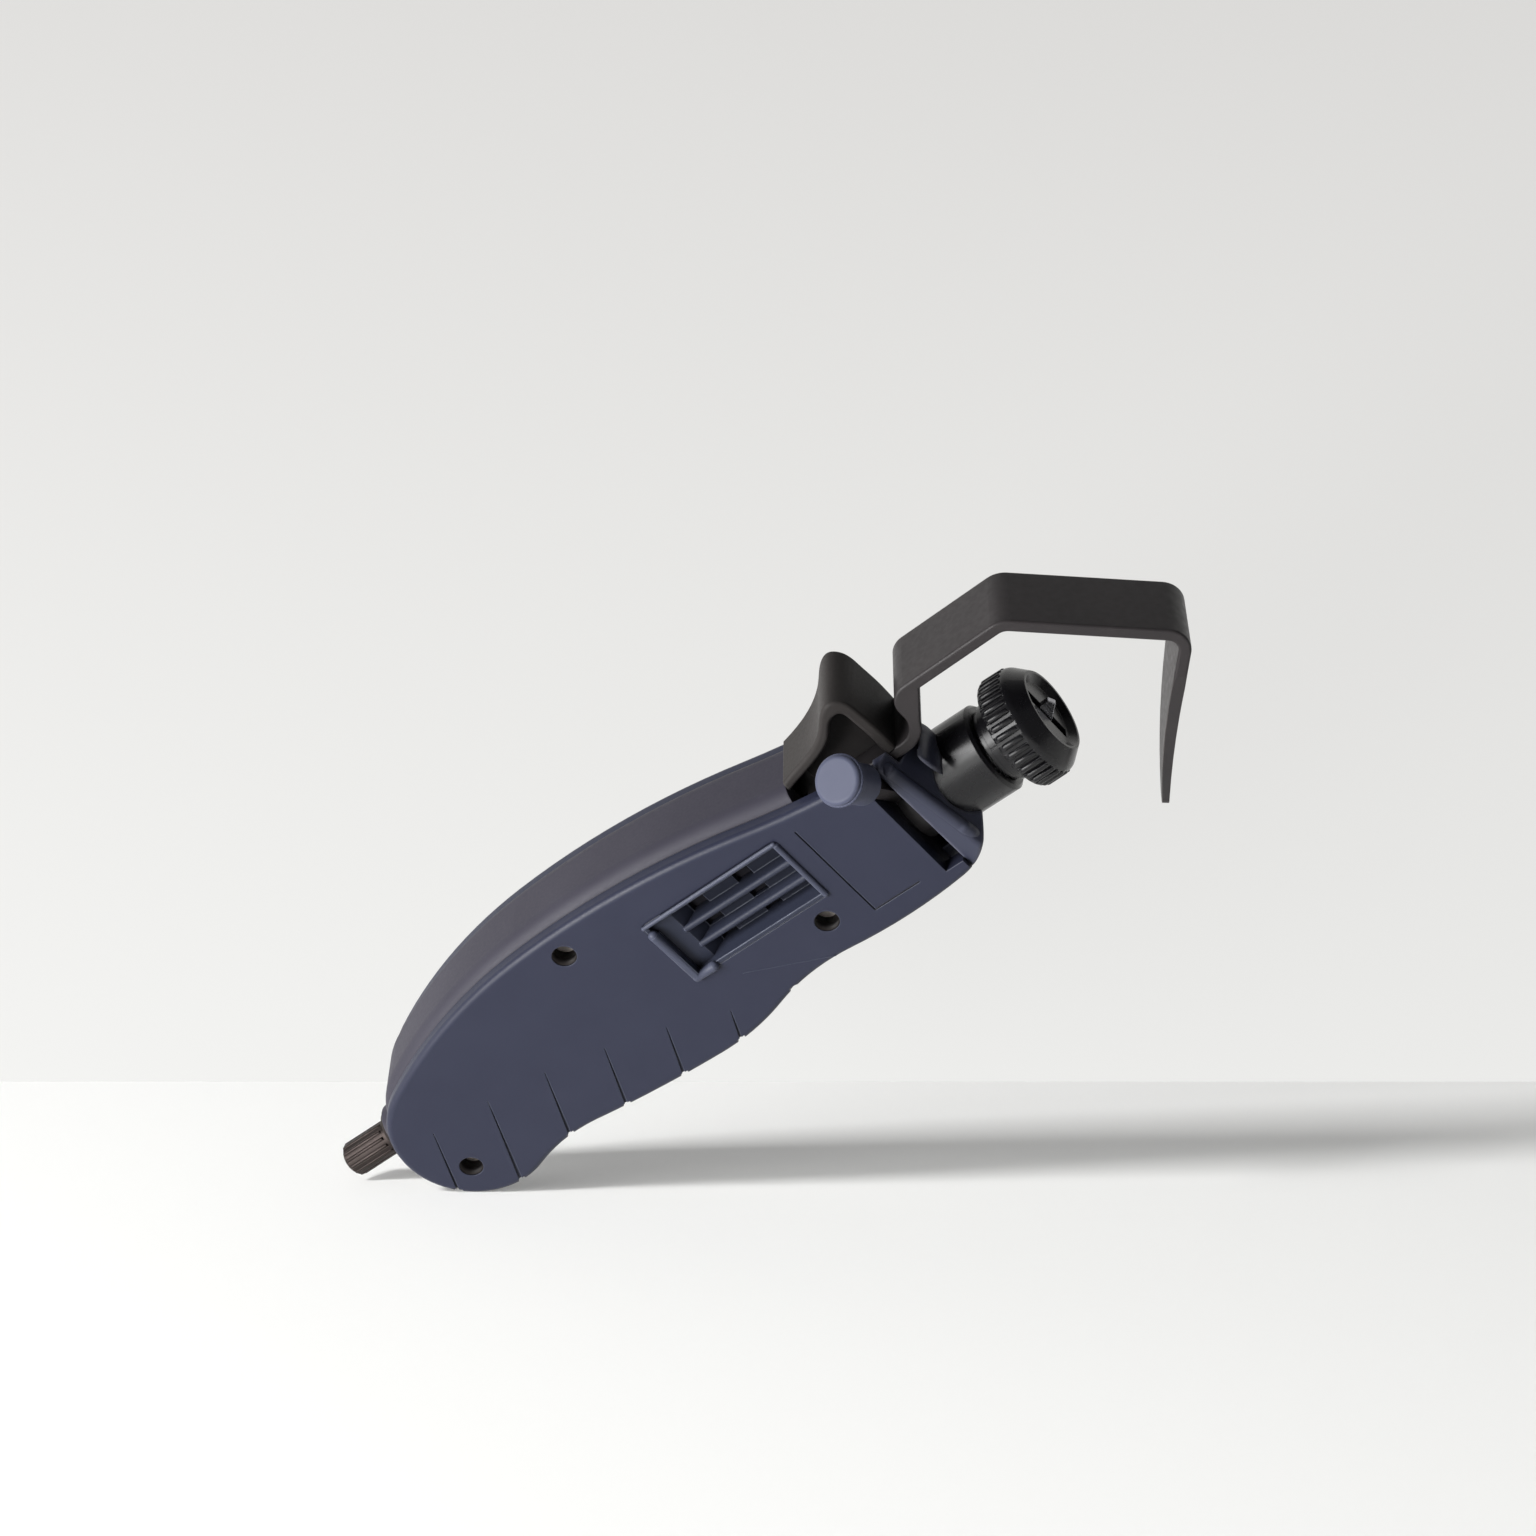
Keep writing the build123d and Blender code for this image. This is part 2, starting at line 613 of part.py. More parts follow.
def lever_arm():
    """A ring on the carrier with a flat arm out through the gap in front of the left cover."""
    sunk = 0.5
    hub = ring(between(LEVER_X, ARM_T + 2 * EASE), CARRIER_R, RING_R)
    return hub + about_spindle(lever_bar(RING_R - sunk, ARM_END), LEVER_REST_DEG)


def lever_button():
    """The round blue button on the arm: a conical root, a stem and a wider cap with a rounded rim."""
    cap_low = BUTTON_OUT - 2.8
    rim = 0.8
    root = 19.6
    taper = (1.0, 1.6)
    points = [
        (0, root),
        (BUTTON_STEM_R - taper[0], root),
        (BUTTON_STEM_R, root + taper[1]),
        (BUTTON_STEM_R, cap_low),
        (BUTTON_R, cap_low),
        (BUTTON_R, BUTTON_OUT),
        (0, BUTTON_OUT),
    ]
    profile = rounded(points, [(4, rim / 2), (5, rim)])
    button = Pos(LEVER_X, 0, 0) * revolve(profile, Axis.Y) - lever_bar(0, ARM_END)
    return about_spindle(button, LEVER_REST_DEG)


def index_collar():
    """The smooth ring between barrel and knob, with a thin index groove along it."""
    rear_x = BARREL_FRONT_X + GAP
    step_x = rear_x + 1.0
    step = 0.6
    mark = (0.4, 0.3)
    mark_deg = 60.0
    collar = turned(
        (rear_x, CARRIER_NOSE_R),
        (KNOB_REAR_X, CARRIER_NOSE_R),
        (KNOB_REAR_X, COLLAR_R),
        (step_x, COLLAR_R),
        (step_x, COLLAR_R - step),
        (rear_x, COLLAR_R - step),
    )
    groove = block((step_x, KNOB_REAR_X), (COLLAR_R - mark[1], KNOB_R), between(0, mark[0]))
    return collar - about_spindle(groove, mark_deg)


def blade_knob():
    """The knurled cap that holds the blade: ridged rim, conical front and a dished face with a slot."""
    dish = 1.2
    lip = 0.5
    rear_round = 0.8
    front_round = 2.4
    floor_x = KNOB_FRONT_X - dish
    slot = (11.2, 2 * BLADE_T)
    knurl = (0.8, 0.45)
    knob = turned(
        (KNOB_REAR_X, CARRIER_NOSE_R),
        (KNOB_REAR_X, KNOB_R),
        (KNOB_RIM_X, KNOB_R),
        (KNOB_FRONT_X, KNOB_FACE_R),
        (KNOB_FRONT_X, KNOB_FACE_R - lip),
        (floor_x, KNOB_FACE_R - lip - dish),
        (floor_x, 0),
        (KNOB_BORE_END_X, 0),
        (KNOB_BORE_END_X, CARRIER_NOSE_R),
        rounds=[(1, rear_round), (2, front_round)],
    )
    knob -= block((0, FAR), between(0, slot[0]), between(AXIS_Z, slot[1]))
    groove = block((0, KNOB_RIM_X - GAP), (KNOB_R - knurl[1], FAR), between(0, knurl[0]))
    for i in range(KNURLS):
        knob -= about_spindle(groove, i * 360 / KNURLS)
    return knob


def blade_plunger():
    """The square plunger: a nut on the spindle behind, a fork for the blade in front."""
    runout = 1.5
    reach = (NOSE_REAR_X + 0.5, KNOB_REAR_X + 0.2)
    plunger = block(reach, between(0, PLUNGER_SIDE), between(AXIS_Z, PLUNGER_SIDE))
    plunger -= rod(0, SPINDLE_FRONT_X + runout, SPINDLE_R + FIT)
    fork = between(AXIS_Z, BLADE_T + 2 * FIT)
    plunger -= block((BLADE_REAR_X - 2 * EASE, FAR), between(0, 2 * (BLADE_HALF + FIT)), fork)
    return plunger - post(BLADE_SCREW_X, 0, PIN_R + FIT, BLADE_SCREW_Z[0] - 2 * EASE, THICK)


def blade():
    """The steel blade: a flat tang with a hole and a slanted point."""
    point_y = 0.9
    clipped = 0.6
    outline = [
        (BLADE_REAR_X, -BLADE_HALF),
        (BLADE_TIP_X - BLADE_SLANT, -BLADE_HALF),
        (BLADE_TIP_X, point_y),
        (BLADE_TIP_X - clipped, BLADE_HALF),
        (BLADE_REAR_X, BLADE_HALF),
    ]
    flat = rounded(outline, ()) - Pos(BLADE_SCREW_X, 0) * Circle(PIN_R + FIT)
    return slab(flat, *between(AXIS_Z, BLADE_T))


def blade_screw():
    """The cross screw that clamps the blade in the plunger's fork."""
    return post(BLADE_SCREW_X, 0, PIN_R, *BLADE_SCREW_Z)


def depth_spindle():
    """The long screw from the tail knob to the plunger."""
    return rod(TAIL_KNOB_X[0] + TAIL_KNOB_WEB, SPINDLE_FRONT_X, SPINDLE_R)


def thrust_collar():
    """The ring that keeps the spindle from moving along its axis."""
    return ring(THRUST_X, SPINDLE_R, BUSH_R - GAP - EASE)


def tail_knob():
    """The small splined knob on the end of the spindle."""
    edge = 0.5
    spline = (0.6, 0.3)
    plain = 1.2
    x0, x1 = TAIL_KNOB_X
    knob = turned(
        (x0, 0),
        (x0 + TAIL_KNOB_WEB, 0),
        (x0 + TAIL_KNOB_WEB, SPINDLE_R),
        (x1, SPINDLE_R),
        (x1, TAIL_KNOB_R),
        (x0 + edge, TAIL_KNOB_R),
        (x0, TAIL_KNOB_R - edge),
    )
    groove = block((-FAR, x1 - plain), (TAIL_KNOB_R - spline[1], FAR), between(0, spline[0]))
    for i in range(SPLINES):
        knob -= about_spindle(groove, i * 360 / SPLINES)
    return knob


PIECES = (
    left_cover,
    right_cover,
    core_frame,
    nose_block,
    barrel,
    wave_washer,
    blade_rack,
    case_screws,
    tail_bush,
    spring_anchor_pin,
    return_spring,
    hook,
    thumb_slider,
    slider_screws,
    hook_carriage,
    carriage_rivets,
    carrier_tube,
    lever_arm,
    lever_button,
    index_collar,
    blade_knob,
    blade_plunger,
    blade,
    blade_screw,
    depth_spindle,
    thrust_collar,
    tail_knob,
)

for make in PIECES:
    export_step(make(), f"parts/{make.__name__}.step")
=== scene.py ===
"""Looks of the hook-jaw cable sheath stripper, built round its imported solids.

The finishes, the ribs, beads and sleeves that dress the solids, the studio and the photograph's
camera are made here. Classes hold their sizes in millimetres, and meshes are written in metres.
"""
import logging
import math
from collections.abc import Sequence
from dataclasses import dataclass
from enum import Enum

import bmesh
import bpy
from mathutils import Matrix, Vector


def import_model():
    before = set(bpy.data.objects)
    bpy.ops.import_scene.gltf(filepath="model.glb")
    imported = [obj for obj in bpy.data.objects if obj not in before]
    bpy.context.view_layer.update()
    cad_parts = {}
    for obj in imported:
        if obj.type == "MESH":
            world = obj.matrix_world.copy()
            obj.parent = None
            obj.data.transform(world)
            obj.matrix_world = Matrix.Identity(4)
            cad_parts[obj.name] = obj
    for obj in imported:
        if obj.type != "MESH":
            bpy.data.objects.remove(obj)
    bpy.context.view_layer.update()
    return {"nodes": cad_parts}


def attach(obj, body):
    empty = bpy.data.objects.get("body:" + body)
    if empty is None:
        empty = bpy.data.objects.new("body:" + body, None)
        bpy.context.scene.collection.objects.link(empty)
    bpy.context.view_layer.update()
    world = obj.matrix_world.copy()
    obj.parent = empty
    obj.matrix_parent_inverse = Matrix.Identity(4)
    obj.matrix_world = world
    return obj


LOG = logging.getLogger("sheath_stripper")
MM = 0.001
SPINDLE_Z = 11.0

Tree = bpy.types.NodeTree
Socket = bpy.types.NodeSocket
Piece = bpy.types.Object
Span = tuple[float, float]
Point = tuple[float, float, float]
Links = dict[str | int, object]

MIX_A, MIX_B, MIX_RESULT = 6, 7, 2   # a mix node's colour sockets, whose names its other sockets share
NOISE_LOW, NOISE_HIGH = 0.3, 0.7     # most values of a noise lie between these
EDGE_TURNED, EDGE_FLAT = 0.80, 0.995   # cosine between the soft and the plain normal, on an edge and off it
EDGE_SAMPLES = 6
HOLLOW_SHUT, HOLLOW_OPEN = 0.15, 0.75   # share of free sky where the painted shade is darkest and where there is none
HOLLOW_SAMPLES = 8
# colour and greatest share of the shade painted into slots and hollows
HOLLOW_SHADE, HOLLOW_SHADE_MOST = "#0b0a0c", 0.9


class Body(Enum):
    """The bodies of the part that carry pieces made here."""

    HANDLE = "handle"
    HEAD = "blade_head"
    DEPTH = "depth_screw"


def linear(hex_colour: str) -> tuple[float, float, float, float]:
    """Turns an sRGB hex colour to linear light.

    Args:
        hex_colour: Six hex digits after a hash sign.

    Returns:
        Red, green, blue and an alpha of 1.
    """
    parts = [int(hex_colour[i : i + 2], 16) / 255 for i in (1, 3, 5)]
    light = [c / 12.92 if c <= 0.04045 else ((c + 0.055) / 1.055) ** 2.4 for c in parts]
    return light[0], light[1], light[2], 1.0


def add(tree: Tree, kind: str, links: Links | None = None, **settings: object) -> bpy.types.Node:
    """Adds one node to a tree.

    Args:
        tree: The tree that takes the node.
        kind: The node's type name.
        links: For each input, by name or number, another node's output or a plain value.
        settings: The node's own properties.

    Returns:
        The new node.
    """
    node = tree.nodes.new(kind)
    for name, value in settings.items():
        setattr(node, name, value)
    for name, source in (links or {}).items():
        if isinstance(source, Socket):
            tree.links.new(source, node.inputs[name])
        else:
            node.inputs[name].default_value = source
    return node


@dataclass(frozen=True)
class Blots:
    """A pattern of blots of a real size, laid on the piece's own coordinates."""

    size_mm: float
    detail: float = 2.0              # octaves of finer blots
    finer: Point = (1.0, 1.0, 1.0)   # how much finer the blots are along X, Y and Z

    def lay(self, tree: Tree) -> Socket:
        """Lays the pattern.

        Args:
            tree: The material's tree.

        Returns:
            The pattern's value, from 0 to 1.
        """
        place = add(tree, "ShaderNodeTexCoord").outputs["Object"]
        drawn = add(tree, "ShaderNodeMapping", {"Vector": place, "Scale": self.finer}).outputs["Vector"]
        pattern = {"Vector": drawn, "Scale": 1 / (self.size_mm * MM), "Detail": self.detail}
        return add(tree, "ShaderNodeTexNoise", pattern).outputs["Fac"]


@dataclass(frozen=True)
class Finish:
    """What all finishes share: a name, two colours, a gloss, soft edges, painted shade in hollows and a
    relief.
    """

    name: str
    colour: str
    second: str
    roughness: float
    edge_mm: float = 0.25
    hollow_mm: float = 8.0        # a hollow narrower than about twice this gets painted shade
    swing: Span = (-0.06, 0.06)   # what the roughness gains at the low and the high end of its pattern
    depth_mm: float = 0.012       # of the relief
    strength: float = 0.5         # of the relief

    def surface(self, tree: Tree) -> Socket:
        """Builds the finish's shader.

        Args:
            tree: The material's tree.

        Returns:
            The shader's output.
        """
        raise NotImplementedError

    def material(self) -> bpy.types.Material:
        """Makes the finish as a material, the first time that it is asked for.

        Returns:
            The material.
        """
        made = bpy.data.materials.get(self.name)
        if made is None:
            made = bpy.data.materials.new(self.name)
            made.use_nodes = True
            made.node_tree.nodes.clear()
            add(made.node_tree, "ShaderNodeOutputMaterial", {"Surface": self.surface(made.node_tree)})
        return made

    def two_tone(self, tree: Tree, share: Socket) -> Socket:
        """Mixes the finish's two colours by a share from 0 to 1."""
        tones = {"Factor": share, MIX_A: linear(self.colour), MIX_B: linear(self.second)}
        return add(tree, "ShaderNodeMix", tones, data_type="RGBA").outputs[MIX_RESULT]

    def clouded(self, tree: Tree, cloud: Blots) -> Socket:
        """Lays the finish's two colours in slow clouds.

        Args:
            tree: The material's tree.
            cloud: The clouds' pattern.

        Returns:
            The colour.
        """
        spread = {"Value": cloud.lay(tree), "From Min": NOISE_LOW, "From Max": NOISE_HIGH}
        return self.two_tone(tree, add(tree, "ShaderNodeMapRange", spread).outputs["Result"])

    def uneven_gloss(self, tree: Tree, pattern: Socket, low: float = NOISE_LOW) -> Socket:
        """Lets the roughness follow a pattern.

        Args:
            tree: The material's tree.
            pattern: The pattern's value.
            low: The pattern's value at its low end.

        Returns:
            The roughness.
        """
        ends = {
            "Value": pattern,
            "From Min": low,
            "From Max": NOISE_HIGH,
            "To Min": self.roughness + self.swing[0],
            "To Max": self.roughness + self.swing[1],
        }
        return add(tree, "ShaderNodeMapRange", ends).outputs["Result"]

    def soft_edges(self, tree: Tree) -> tuple[Socket, Socket]:
        """Softens the edges that a mould or a press leaves, and finds the edges that the finish paints paler.

        Args:
            tree: The material's tree.

        Returns:
            The softened normal, and how near an edge a point is.
        """
        radius = {"Radius": self.edge_mm * MM}
        soft = add(tree, "ShaderNodeBevel", radius, samples=EDGE_SAMPLES).outputs["Normal"]
        flat = add(tree, "ShaderNodeNewGeometry").outputs["Normal"]
        same = add(tree, "ShaderNodeVectorMath", {0: soft, 1: flat}, operation="DOT_PRODUCT")
        ends = {
            "Value": same.outputs["Value"],
            "From Min": EDGE_TURNED,
            "From Max": EDGE_FLAT,
            "To Min": 1.0,
            "To Max": 0.0,
        }
        return soft, add(tree, "ShaderNodeMapRange", ends).outputs["Result"]

    def pale_edges(self, tree: Tree, colour: Socket, edge: Socket, bare: str, patch: Blots) -> Socket:
        """Paints the edges another colour in patches, partly as wear and partly as a painted highlight.

        Args:
            tree: The material's tree.
            colour: The colour before wear.
            edge: How near an edge a point is.
            bare: The colour of an edge, partly wear and partly a painted highlight.
            patch: The patches' pattern.

        Returns:
            The colour with its rubbed edges.
        """
        patchy = add(tree, "ShaderNodeMath", {0: edge, 1: patch.lay(tree)}, operation="MULTIPLY")
        tones = {"Factor": patchy.outputs[0], MIX_A: colour, MIX_B: linear(bare)}
        return add(tree, "ShaderNodeMix", tones, data_type="RGBA").outputs[MIX_RESULT]

    def shade_hollows(self, tree: Tree, colour: Socket) -> Socket:
        """Darkens a colour in slots and hollows as painted shade.

        Args:
            tree: The material's tree.
            colour: The colour without the painted shade.

        Returns:
            The colour with painted shade in its hollows.
        """
        reach = {"Distance": self.hollow_mm * MM}
        clear = add(tree, "ShaderNodeAmbientOcclusion", reach, samples=HOLLOW_SAMPLES).outputs["AO"]
        ends = {
            "Value": clear,
            "From Min": HOLLOW_SHUT,
            "From Max": HOLLOW_OPEN,
            "To Min": HOLLOW_SHADE_MOST,
            "To Max": 0.0,
        }
        share = add(tree, "ShaderNodeMapRange", ends).outputs["Result"]
        tones = {"Factor": share, MIX_A: colour, MIX_B: linear(HOLLOW_SHADE)}
        return add(tree, "ShaderNodeMix", tones, data_type="RGBA").outputs[MIX_RESULT]

    def shader(self, tree: Tree, look: Links, height: Socket, soft: Socket) -> Socket:
        """Joins the finish's looks and its relief in one shader.

        Args:
            tree: The material's tree.
            look: The shader's inputs by name, apart from its normal.
            height: The pattern that the relief follows.
            soft: The normal with softened edges.

        Returns:
            The shader's output.
        """
        relief = {"Height": height, "Distance": self.depth_mm * MM, "Strength": self.strength, "Normal": soft}
        bent = add(tree, "ShaderNodeBump", relief).outputs["Normal"]
        return add(tree, "ShaderNodeBsdfPrincipled", {**look, "Normal": bent}).outputs["BSDF"]


@dataclass(frozen=True)
class MouldedPlastic(Finish):
    """Injection-moulded ABS or nylon: an even colour, a fine spark-eroded grain, paler edges that are partly
    polish and partly a painted highlight, and painted shade in hollows.
    """

    swing: Span = (-0.05, 0.05)
    strength: float = 0.6
    edge_wear_and_highlight: str = "#6c7080"   # colour of an edge, partly rubbed by hands and partly a painted highlight
    sheen: float = 0.3     # the grain breaks up part of the mirror light
    cloud: Blots = Blots(14.0, detail=4.0)
    patch: Blots = Blots(2.5)
    grain: Blots = Blots(0.5, detail=3.0)   # real grain is about 0.1 mm; drawn coarser so that it shows

    def surface(self, tree: Tree) -> Socket:
        """Builds the shader: grain in the bump, slow clouds in the colour, edges a little paler as wear and
        as a painted highlight, and painted shade in hollows.

        Args:
            tree: The material's tree.

        Returns:
            The shader's output.
        """
        soft, edge = self.soft_edges(tree)
        grain = self.grain.lay(tree)
        body = self.clouded(tree, self.cloud)
        look = {
            "Base Color": self.shade_hollows(tree, self.pale_edges(tree, body, edge, self.edge_wear_and_highlight, self.patch)),
            "Roughness": self.uneven_gloss(tree, grain),
            "Specular IOR Level": self.sheen,
        }
        return self.shader(tree, look, grain, soft)


@dataclass(frozen=True)
class PolishedPlastic(Finish):
    """Polished black acetal: a deep gloss with faint hairline wiping marks and greasy clouds."""

    swing: Span = (-0.03, 0.04)
    depth_mm: float = 0.002
    sheen: float = 0.42
    clean: float = 0.35   # the smears' value where the polish is clean
    smear: Blots = Blots(5.0, detail=5.0, finer=(1.0, 1.6, 1.6))
    # Real wiping marks are about 0.1 mm wide; drawn coarser so that they show.
    hair: Blots = Blots(2.0, detail=1.0, finer=(3.0, 1.0, 1.0))

    def surface(self, tree: Tree) -> Socket:
        """Builds the shader: a smooth black whose gloss changes with fingerprints.

        Args:
            tree: The material's tree.

        Returns:
            The shader's output.
        """
        soft, _ = self.soft_edges(tree)
        smears = self.smear.lay(tree)
        look = {
            "Base Color": self.two_tone(tree, smears),
            "Roughness": self.uneven_gloss(tree, smears, self.clean),
            "Specular IOR Level": self.sheen,
        }
        return self.shader(tree, look, self.hair.lay(tree), soft)


@dataclass(frozen=True)
class CoatedSteel(Finish):
    """Steel strap under a baked black coat: satin, orange-peeled, paler on its edges where the coat is
    thinner and as a painted highlight, with painted shade in hollows.
    """

    thin_coat_and_highlight: str = "#85807e"   # colour of an edge, partly where the coat wears and partly a painted highlight
    sheen: float = 0.3
    cloud: Blots = Blots(9.0, detail=5.0)
    patch: Blots = Blots(3.0)
    peel: Blots = Blots(1.2)

    def surface(self, tree: Tree) -> Socket:
        """Builds the shader: a coat with orange peel, a paler line where the edge thins the coat and as a
        painted highlight, and painted shade in hollows.

        Args:
            tree: The material's tree.

        Returns:
            The shader's output.
        """
        soft, edge = self.soft_edges(tree)
        peel = self.peel.lay(tree)
        body = self.clouded(tree, self.cloud)
        look = {
            "Base Color": self.shade_hollows(tree, self.pale_edges(tree, body, edge, self.thin_coat_and_highlight, self.patch)),
            "Roughness": self.uneven_gloss(tree, peel),
            "Specular IOR Level": self.sheen,
        }
        return self.shader(tree, look, peel, soft)


@dataclass(frozen=True)
class TurnedSteel(Finish):
    """Turned or ground steel: fine tool marks round the X axis and dull stained clouds."""

    swing: Span = (-0.08, 0.08)
    depth_mm: float = 0.006
    bare: float = 1.0   # how much of the metal shows; a dull plating scatters the rest
    stain: Blots = Blots(3.0, detail=4.0)
    # Real tool marks are about 0.1 mm apart; drawn coarser so that they show.
    mark: Blots = Blots(0.35, detail=3.0, finer=(1.0, 0.05, 0.05))

    def surface(self, tree: Tree) -> Socket:
        """Builds the shader: metal whose gloss and colour change along the tool marks.

        Args:
            tree: The material's tree.

        Returns:
            The shader's output.
        """
        soft, _ = self.soft_edges(tree)
        marks = self.mark.lay(tree)
        look = {
            "Base Color": self.two_tone(tree, self.stain.lay(tree)),
            "Roughness": self.uneven_gloss(tree, marks),
            "Metallic": self.bare,
        }
        return self.shader(tree, look, marks, soft)


# Spark-eroded ABS of the covers: an even slate blue with a soft satin sheen.
SLATE = MouldedPlastic("slate_blue_abs", "#2e3144", "#323548", 0.42, sheen=0.35)
# The same ABS on the nose, painted lighter than on the covers to stand for the light on it, with a broad pale
# painted highlight along its full rounds.
LIT_SLATE_NOSE = MouldedPlastic(
    "lit_slate_nose_abs", "#3e4153", "#424557", 0.42, edge_mm=1.1, hollow_mm=4.0, edge_wear_and_highlight="#9b9dae", sheen=0.35
)
# The covers' ABS on the lever's button, painted paler to stand for the light on it: chalky, with little
# mirror light.
LIT_SLATE_BUTTON = MouldedPlastic("lit_slate_button_abs", "#575b70", "#5c6075", 0.5, hollow_mm=2.0, edge_wear_and_highlight="#8589a0")
# ABS of the rack: painted shade in its slots, and pale edges as a painted highlight.
RACK = MouldedPlastic("rack_abs", "#333747", "#383c4c", 0.5, edge_mm=0.4, hollow_mm=3.0, edge_wear_and_highlight="#a2a8bb")
# The rack's catch and rims, painted a lighter blue as a painted highlight.
RACK_RIM_HIGHLIGHT = MouldedPlastic("highlit_rack_rim_abs", "#4e5264", "#575b6d", 0.42, hollow_mm=2.0, edge_wear_and_highlight="#a2a8bb")
# Filled nylon of the spine: a matt, faintly purple grey.
SPINE = MouldedPlastic("spine_nylon", "#403e49", "#45434e", 0.55, edge_mm=0.4, edge_wear_and_highlight="#6d6b73")
# Black nylon of the slider: dry and brownish, with almost no sheen, and painted shade deep in its hollow.
SLIDER = MouldedPlastic(
    "slider_nylon", "#3d3a39", "#423f3e", 0.5, edge_mm=0.4, hollow_mm=14.0, edge_wear_and_highlight="#5d5a58", sheen=0.12
)
# Polished acetal of the barrel and the knob: near black, and seen by its soft highlights.
GLOSS_BLACK = PolishedPlastic("polished_acetal", "#101013", "#161518", 0.27, edge_mm=0.2)
# Baked coat of the strap: a warm satin black, with painted shade where it runs close to the slider and the
# nose.
STRAP = CoatedSteel("coated_strap_steel", "#363334", "#3b3738", 0.42, edge_mm=0.3, hollow_mm=14.0)
# Plain turned steel inside the tool: a bright grey with streaks.
STEEL = TurnedSteel("turned_steel", "#a3a3a5", "#8d8c8d", 0.3)
# Ground tool steel: a clean flash when it catches a lamp.
BLADE_STEEL = TurnedSteel("ground_blade_steel", "#b4b4b8", "#9c9ca2", 0.24)
# Dull zinc plate: a pale, milky grey at the bottom of the wells, partly its own colour and partly painted
# light on the shaded heads.
LIT_ZINC = TurnedSteel("lit_zinc_screw", "#e4dad2", "#d2c8c0", 0.5, bare=0.2)
# Brown fibre: a dark, warm wall in each well, partly its own brown and partly painted shade.
SHADED_FIBRE = MouldedPlastic("shaded_brown_fibre", "#17110f", "#1e1715", 0.6, edge_wear_and_highlight="#241c1a")
# Blackened steel: dark grey and a little greasy.
FASTENER = TurnedSteel("blackened_screw_steel", "#3a3636", "#2a2626", 0.4)
# Bronzed steel: a warm brown grey with streaks round the knob.
TAIL = TurnedSteel("bronzed_knob_steel", "#48413f", "#3a3432", 0.45)

NODE_FINISH = {
    "left_cover": SLATE,
    "right_cover": SLATE,
    "nose_block": LIT_SLATE_NOSE,
    "lever_button": LIT_SLATE_BUTTON,
    "core_frame": SPINE,
    "blade_rack": RACK,
    "thumb_slider": SLIDER,
    "hook_carriage": SLIDER,
    "barrel": GLOSS_BLACK,
    "index_collar": GLOSS_BLACK,
    "blade_knob": GLOSS_BLACK,
    "hook": STRAP,
    "lever_arm": STRAP,
    "blade_plunger": STEEL,
    "carrier_tube": STEEL,
    "depth_spindle": STEEL,
    "thrust_collar": STEEL,
    "wave_washer": STEEL,
    "return_spring": STEEL,
    "spring_anchor_pin": STEEL,
    "case_screws": LIT_ZINC,
    "slider_screws": FASTENER,
    "carriage_rivets": FASTENER,
    "blade_screw": FASTENER,
    "blade": BLADE_STEEL,
    "tail_bush": TAIL,
    "tail_knob": TAIL,
}


def dress_nodes(nodes: dict[str, Piece]) -> None:
    """Gives every solid of the part its finish.

    Args:
        nodes: The part's solids by name.
    """
    for name, finish in NODE_FINISH.items():
        mesh = nodes[name].data
        mesh.materials.clear()
        mesh.materials.append(finish.material())
        LOG.info("%s has the finish %s", name, finish.name)


